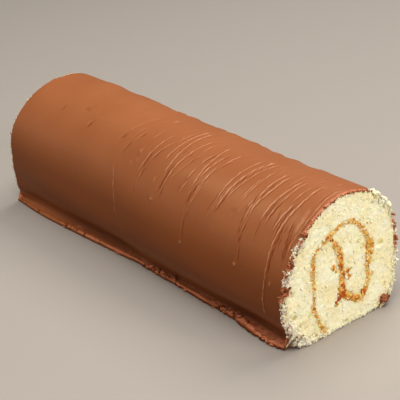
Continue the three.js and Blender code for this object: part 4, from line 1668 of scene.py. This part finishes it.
@dataclass
class ChocolateChips:
    """Chips and lumps of broken chocolate at the rims, on the foot and at the tucked lip.

    A cluster is where it lies round the coat, how far out of the skin, how far it spreads both
    ways, the size of its lumps, how many there are, and their shade: 1 pale, -1 dark. A foot lump
    is its X, how far in from the foot's edge it lies, its height, three half sizes and its shade.
    """

    material: Material
    coat: ChocolateCoat
    seed: int = 23
    clusters: Rows = (
        (65.5, -0.2, 1.8, 0.8, 0.8, 11, 0.7), (65.0, -1.7, 1.6, 0.6, 0.6, 6, -0.3),
        (61.6, -0.3, 0.8, 0.5, 0.7, 5, 0.8), (59.2, -2.0, 0.4, 1.5, 0.5, 8, -0.3),
        (57.5, -0.4, 0.9, 0.4, 0.6, 4, 0.6), (56.0, -1.6, 1.6, 0.4, 0.5, 5, -0.4),
        (51.5, 0.2, 1.6, 0.3, 0.7, 6, 0.5), (48.3, -1.4, 1.1, 1.1, 0.8, 9, -0.4),
        (46.6, -1.6, 0.6, 1.5, 0.6, 8, 1.0), (43.5, 0.0, 1.6, 0.3, 0.6, 5, 0.4),
        (36.4, -1.4, 1.6, 2.0, 0.9, 14, -0.5), (33.6, -2.4, 1.5, 2.2, 0.85, 14, 0.6),
        (36.8, 0.2, 1.4, 0.4, 0.7, 5, 0.9), (30.6, 1.1, 0.6, 0.4, 0.6, 4, 1.0),
        (7.2, -0.6, 0.9, 0.5, 0.5, 4, -0.4), (3.2, -0.8, 1.0, 0.5, 0.5, 4, 0.2),
        (141.8, -0.5, 0.6, 0.3, 0.7, 4, 0.0), (149.0, -0.6, 3.6, 0.25, 0.45, 14, 0.7),
        (157.3, -0.6, 1.0, 0.4, 0.8, 6, 0.2), (161.0, -0.6, 1.6, 0.2, 0.4, 5, 0.4),
        (192.8, -2.6, 1.4, 0.8, 1.4, 8, -0.5), (198.6, -4.8, 2.4, 1.5, 1.45, 14, 0.35),
        (203.2, -3.8, 1.5, 1.1, 1.2, 8, 0.5),
    )
    foot_lumps: Rows = (
        (-67.5, 0.6, 1.9, 1.7, 0.8, 0.6, 1.0), (-64.6, 1.0, 2.0, 1.2, 0.6, 0.5, 0.8),
        (-70.6, 0.9, 1.8, 0.9, 0.5, 0.4, 0.6), (-60.0, 1.0, 1.9, 1.1, 0.5, 0.4, -0.5),
        (-50.0, 0.7, 1.8, 1.3, 0.5, 0.4, 0.9), (-38.0, 0.8, 1.8, 1.2, 0.5, 0.4, -0.4),
        (-8.0, 0.8, 1.8, 1.2, 0.5, 0.4, 0.7), (4.0, 1.0, 1.9, 1.5, 0.6, 0.5, 0.8),
        (8.2, 1.4, 2.1, 1.8, 0.9, 0.7, 0.9), (11.8, 0.9, 1.6, 1.0, 0.7, 0.7, -0.8),
        (13.6, 1.8, 2.3, 1.7, 1.0, 0.8, 0.5), (16.6, 1.0, 1.7, 1.1, 0.8, 0.8, -0.9),
        (18.4, 1.9, 2.3, 1.6, 1.0, 0.9, 0.9), (21.2, 1.1, 1.8, 1.6, 0.9, 0.8, 0.3),
        (24.4, 1.4, 1.9, 1.3, 0.7, 0.6, -0.5), (28.6, 1.6, 2.2, 1.1, 0.6, 0.6, 1.0),
        (29.4, 2.2, 3.3, 0.4, 0.5, 1.5, -0.7), (33.0, 1.0, 1.8, 1.4, 0.5, 0.5, 0.8),
        (63.0, 1.6, 2.3, 1.0, 0.7, 0.6, 0.9), (69.6, 1.8, 2.4, 1.2, 0.8, 0.6, -0.8),
        (72.0, 1.2, 2.2, 1.1, 0.7, 0.6, 1.0), (77.4, 1.6, 2.4, 1.3, 0.8, 0.7, 0.9),
        (80.6, 1.0, 1.8, 1.0, 0.7, 0.7, -0.9), (84.2, 1.7, 2.9, 1.3, 0.8, 0.8, 1.0),
        (88.0, 1.2, 2.8, 1.5, 0.8, 0.7, 0.9), (91.4, 1.8, 3.0, 1.1, 0.7, 0.8, -0.8),
        (95.0, 1.0, 2.6, 1.4, 0.7, 0.6, 1.0),
    )
    top_count: int = 110
    far_count: int = 40

    def spots(self, draw: np.random.Generator) -> Iterator[tuple[float, ...]]:
        """X, the distance round, how far out, the size and the shade of each chip at the rims."""
        for around, out, spread, out_spread, size, count, shade in self.clusters:
            for _ in range(count):
                yield (
                    FORM.half + draw.uniform(-0.6, 0.3), around + spread * draw.normal() * 0.6,
                    out + out_spread * draw.normal() * 0.6, size * draw.uniform(0.6, 1.1),
                    shade + 0.35 * draw.normal(),
                )
        for index in range(self.top_count + self.far_count):
            end = 1.0 if index < self.top_count else -1.0
            yield (
                end * (FORM.half - 0.1 - abs(draw.normal()) * 0.6),
                draw.uniform(60, 120) if end > 0 else draw.uniform(2, 200),
                draw.uniform(-1.6, -0.3), draw.uniform(0.2, 0.42),
                draw.choice([-0.5, 0.0, 0.4, 0.7]),
            )

    @staticmethod
    def shades(shade: float) -> Pair:
        """The values "rim" and "line" of a chip: it is pale above 0 and dark below."""
        return bounded(shade, 0.0, 1.0), bounded(shade, -1.0, 0.0)

    def build(self) -> None:
        """Builds all the chips as one piece of closed lumps."""
        draw = np.random.default_rng(self.seed)
        lumps = []
        # The list draws every place before the first shape.
        for x, around, out, size, shade in list(self.spots(draw)):
            middle = FORM.spot(x, self.coat.beside(around, out)[0], 0.5 * size)
            radii = size * np.array([0.7, draw.uniform(0.9, 2.1), draw.uniform(0.35, 0.7)])
            rough = 1.0 if size < 0.9 else 0.6
            lumps.append(Lump(middle, radii, draw.normal(size=3), rough, self.shades(shade)))
        for x, inward, height, *radii, shade in self.foot_lumps:
            middle = FORM.spot(x, (FORM.foot_edge, 1.0)) + (0.0, inward, height - 1.0)
            turn = (0.4 * math.sin(x), 0.3 * math.cos(2 * x), 0.35 * math.sin(3 * x))
            lumps.append(Lump(middle, radii, turn, 0.9, self.shades(shade)))
        lumps_piece("chocolate_chips", lumps, ("rim", "line"), self.material, rounds=3)


@dataclass(frozen=True)
class Flake:
    """One ragged, curled flake.

    Attributes:
        middle: its middle.
        along: unit vector along its length.
        up: unit vector out of its face.
        size: its length and width.
        curl: how far its tip bends away.
        seed: its own ragged outline.
    """

    middle: Array
    along: Array
    up: Array
    size: Pair
    curl: float
    seed: float

    def bend(self, plate: Array) -> Array:
        """Bends a flat plate, from -1 to 1 both ways, into the flake."""
        flat = plate * (1, 1, 0)
        ragged = 1 + 0.35 * grain(flat, 0.7, self.seed)
        u, v, w = plate[:, 0] * ragged, plate[:, 1] * ragged, plate[:, 2]
        lift = w + self.curl * (u + 1) ** 2 / 4 + 0.12 * grain(flat, 0.6, -self.seed)
        wide = v * self.size[1] / 2 * (1 - 0.35 * u)
        place = self.middle + np.outer(u * self.size[0] / 2, self.along)
        return place + np.outer(wide, np.cross(self.up, self.along)) + np.outer(lift, self.up)


@dataclass
class ChocolateFlakes:
    """Thin broken flakes of chocolate at the torn rim and along the foot's edge.

    A flake at the rim is its X, its distance round the coat, its length, width and curl. A patch
    on the foot is its X and how far it reaches.
    """

    material: Material
    coat: ChocolateCoat
    rim_flakes: Rows = (
        (124.0, 65.6, 2.4, 2.6, 0.9), (124.2, 48.6, 2.4, 2.6, 1.0), (124.4, 46.4, 2.0, 1.4, 0.7),
        (123.8, 37.2, 2.6, 2.2, 1.0), (124.0, 32.8, 2.6, 2.4, 1.1), (123.4, 30.4, 1.8, 1.4, 0.8),
        (124.2, 66.0, 2.0, 2.0, 0.5), (124.2, 72.5, 1.8, 2.6, 0.4), (124.4, 84.0, 1.4, 2.4, 0.4),
        (124.0, 154.0, 1.6, 2.2, 0.5), (123.9, 165.0, 1.7, 2.6, 0.6),
    )
    foot_count: int = 120
    foot_patches: Rows = (
        (72.0, 5.0), (84.0, 6.0), (92.0, 5.0), (17.0, 4.0), (29.0, 2.0), (50.0, 14.0),
        (-66.0, 4.0), (106.0, 7.0), (0.0, 40.0), (-60.0, 40.0),
    )
    seed: int = 5
    thickness: float = 0.35

    def at_the_rim(self) -> Iterator[Flake]:
        """The flakes placed one by one at the rim."""
        for index, (x, around, length, width, curl) in enumerate(self.rim_flakes):
            section, out = self.coat.beside(around, -0.4)
            up = unit(np.array([0.25, *out]))
            along = np.array([1.0, 0.25 * math.sin(3 * index), -0.3 * math.cos(2 * index)])
            along = unit(along - up * (along @ up))
            yield Flake(FORM.spot(x, section), along, up, (length, width), curl, 3.0 * index)

    def on_the_foot(self, draw: np.random.Generator) -> Iterator[Flake]:
        """The flakes strewn in patches along the foot's edge."""
        for index in range(self.foot_count):
            patch, reach = self.foot_patches[index % len(self.foot_patches)]
            x = bounded(patch + draw.normal() * reach, -120.0, 119.0)
            middle = FORM.spot(x, (FORM.foot_edge, 1.0))
            middle = middle + (0.0, draw.uniform(-0.3, 1.8), draw.uniform(-0.3, 1.3))
            along = unit(np.array([1.0, draw.normal() * 0.5, draw.normal() * 0.35]))
            up = unit(np.cross(along, np.array([0.0, draw.uniform(0.4, 1.0), 0.2])))
            size = (draw.uniform(0.9, 2.8), draw.uniform(0.5, 1.2))
            yield Flake(middle, along, up, size, draw.uniform(0.1, 0.5), 70.0 + index)

    def build(self) -> None:
        """Builds all the flakes as one piece."""
        draw = np.random.default_rng(self.seed)
        flakes = [*self.at_the_rim(), *self.on_the_foot(draw)]
        mesh = new_mesh("rim", "line", vector="course")
        bmesh.ops.create_grid(mesh, x_segments=4, y_segments=3, size=1.0)
        bmesh.ops.solidify(mesh, geom=mesh.faces[:], thickness=self.thickness)
        made, plate = copies(mesh, len(flakes))
        place = np.concatenate([flake.bend(plate) for flake in flakes])
        place[:, 2] = np.maximum(place[:, 2], 0.0)
        place_vertices(made, place)
        shades = draw.choice([0.9, 1.0, 0.6, -0.3, -0.8], len(flakes))
        shades[:len(self.rim_flakes)] = 0.75
        shades = np.repeat(shades, len(plate))
        store(
            mesh, made, rim=np.maximum(shades, 0.0), line=np.minimum(shades, 0.0), course=place
        )
        finish_piece("chocolate_flakes", mesh, self.material)


# ------------------------------------------------------------------------------ studio


@dataclass(frozen=True)
class Viewpoint:
    """Where the camera stands, in metres and degrees."""

    place: Triple = (0.50441, -0.38806, 0.33587)
    azimuth: float = 51.647
    elevation: float = 25.708
    roll: float = -2.918
    lens: float = 110.8

    def build(self) -> None:
        """Builds the camera and makes it the scene's."""
        azimuth, elevation, roll = (
            math.radians(angle) for angle in (self.azimuth, self.elevation, self.roll)
        )
        back = Vector((
            math.sin(azimuth) * math.cos(elevation),
            -math.cos(azimuth) * math.cos(elevation),
            math.sin(elevation),
        ))
        level = Vector((math.cos(azimuth), math.sin(azimuth), 0.0))
        upright = back.cross(level)
        right = level * math.cos(roll) + upright * math.sin(roll)
        up = upright * math.cos(roll) - level * math.sin(roll)
        data = bpy.data.cameras.new("camera")
        data.lens = self.lens
        camera = bpy.data.objects.new("camera", data)
        turn = Matrix((right, up, back)).transposed().to_4x4()
        camera.matrix_world = Matrix.Translation(self.place) @ turn
        bpy.context.scene.collection.objects.link(camera)
        bpy.context.scene.camera = camera


@dataclass(frozen=True)
class Softbox:
    """A soft studio light.

    Attributes:
        name: what it is called.
        place: where it hangs, in metres.
        size: its width and height, in metres.
        power: its power in watts.
    """

    name: str
    place: Triple
    size: Pair
    power: float

    def build(self) -> None:
        """Builds the light, turned towards the middle of the cake."""
        data = bpy.data.lights.new(self.name, "AREA")
        data.shape = "RECTANGLE"
        data.size, data.size_y = self.size
        data.energy = self.power
        light = bpy.data.objects.new(self.name, data)
        aim = Vector((0.0, 0.0, 0.035)) - Vector(self.place)
        turn = aim.to_track_quat("-Z", "Y").to_matrix().to_4x4()
        light.matrix_world = Matrix.Translation(self.place) @ turn
        bpy.context.scene.collection.objects.link(light)


@dataclass(frozen=True)
class Studio:
    """The floor, the lights and the view. The sky is black."""

    lights: tuple[Softbox, ...] = (
        Softbox("overhead", (0.0, 0.0, 1.3), (1.0, 0.9), 7.2),
        Softbox("front_high", (0.32, -0.50, 1.22), (1.0, 0.45), 10.2),
        Softbox("behind", (-0.1, 0.8, 1.1), (1.0, 0.7), 10.2),
        Softbox("face", (1.25, 0.25, 0.45), (0.7, 0.6), 7.4),
        Softbox("corner", (0.9, -0.9, 0.45), (0.7, 0.6), 1.1),
        Softbox("front_left", (-0.9, -0.9, 0.5), (0.7, 0.6), 1.2),
    )
    look: str = "Medium High Contrast"
    floor_size: float = 6.0
    floor_gap: float = 0.00005

    def build(self) -> None:
        """Builds the floor, the lights, the sky and the camera."""
        mesh = bmesh.new()
        bmesh.ops.create_grid(mesh, x_segments=1, y_segments=1, size=self.floor_size / 2)
        bmesh.ops.translate(mesh, verts=mesh.verts[:], vec=(0, 0, -self.floor_gap))
        data = bpy.data.meshes.new("floor")
        mesh.to_mesh(data)
        mesh.free()
        data.materials.append(FloorFinish().make())
        floor = bpy.data.objects.new("floor", data)
        bpy.context.scene.collection.objects.link(floor)
        for light in self.lights:
            light.build()
        world = bpy.data.worlds.new("sky")
        world.use_nodes = True
        world.node_tree.nodes["Background"].inputs["Strength"].default_value = 0.0
        bpy.context.scene.world = world
        bpy.context.scene.view_settings.view_transform = "Standard"
        bpy.context.scene.view_settings.look = self.look
        Viewpoint().build()


def main() -> None:
    """Builds the cake, its crumbs and the studio."""
    logging.basicConfig(level=logging.INFO, format="%(message)s")
    sponge = SpongeFinish().make()
    jam = JamFinish().make()
    chocolate = ChocolateFinish().make()
    coat = ChocolateCoat(chocolate)
    coat.build()
    Sponge(sponge, coat).build()
    JamLayer(jam).build()
    JamClots(jam).build()
    RimCrumbs(sponge, coat).build()
    FaceCrumbs(sponge).build()
    ChocolateChips(chocolate, coat).build()
    ChocolateFlakes(chocolate, coat).build()
    Studio().build()


if __name__ == "__main__":
    main()
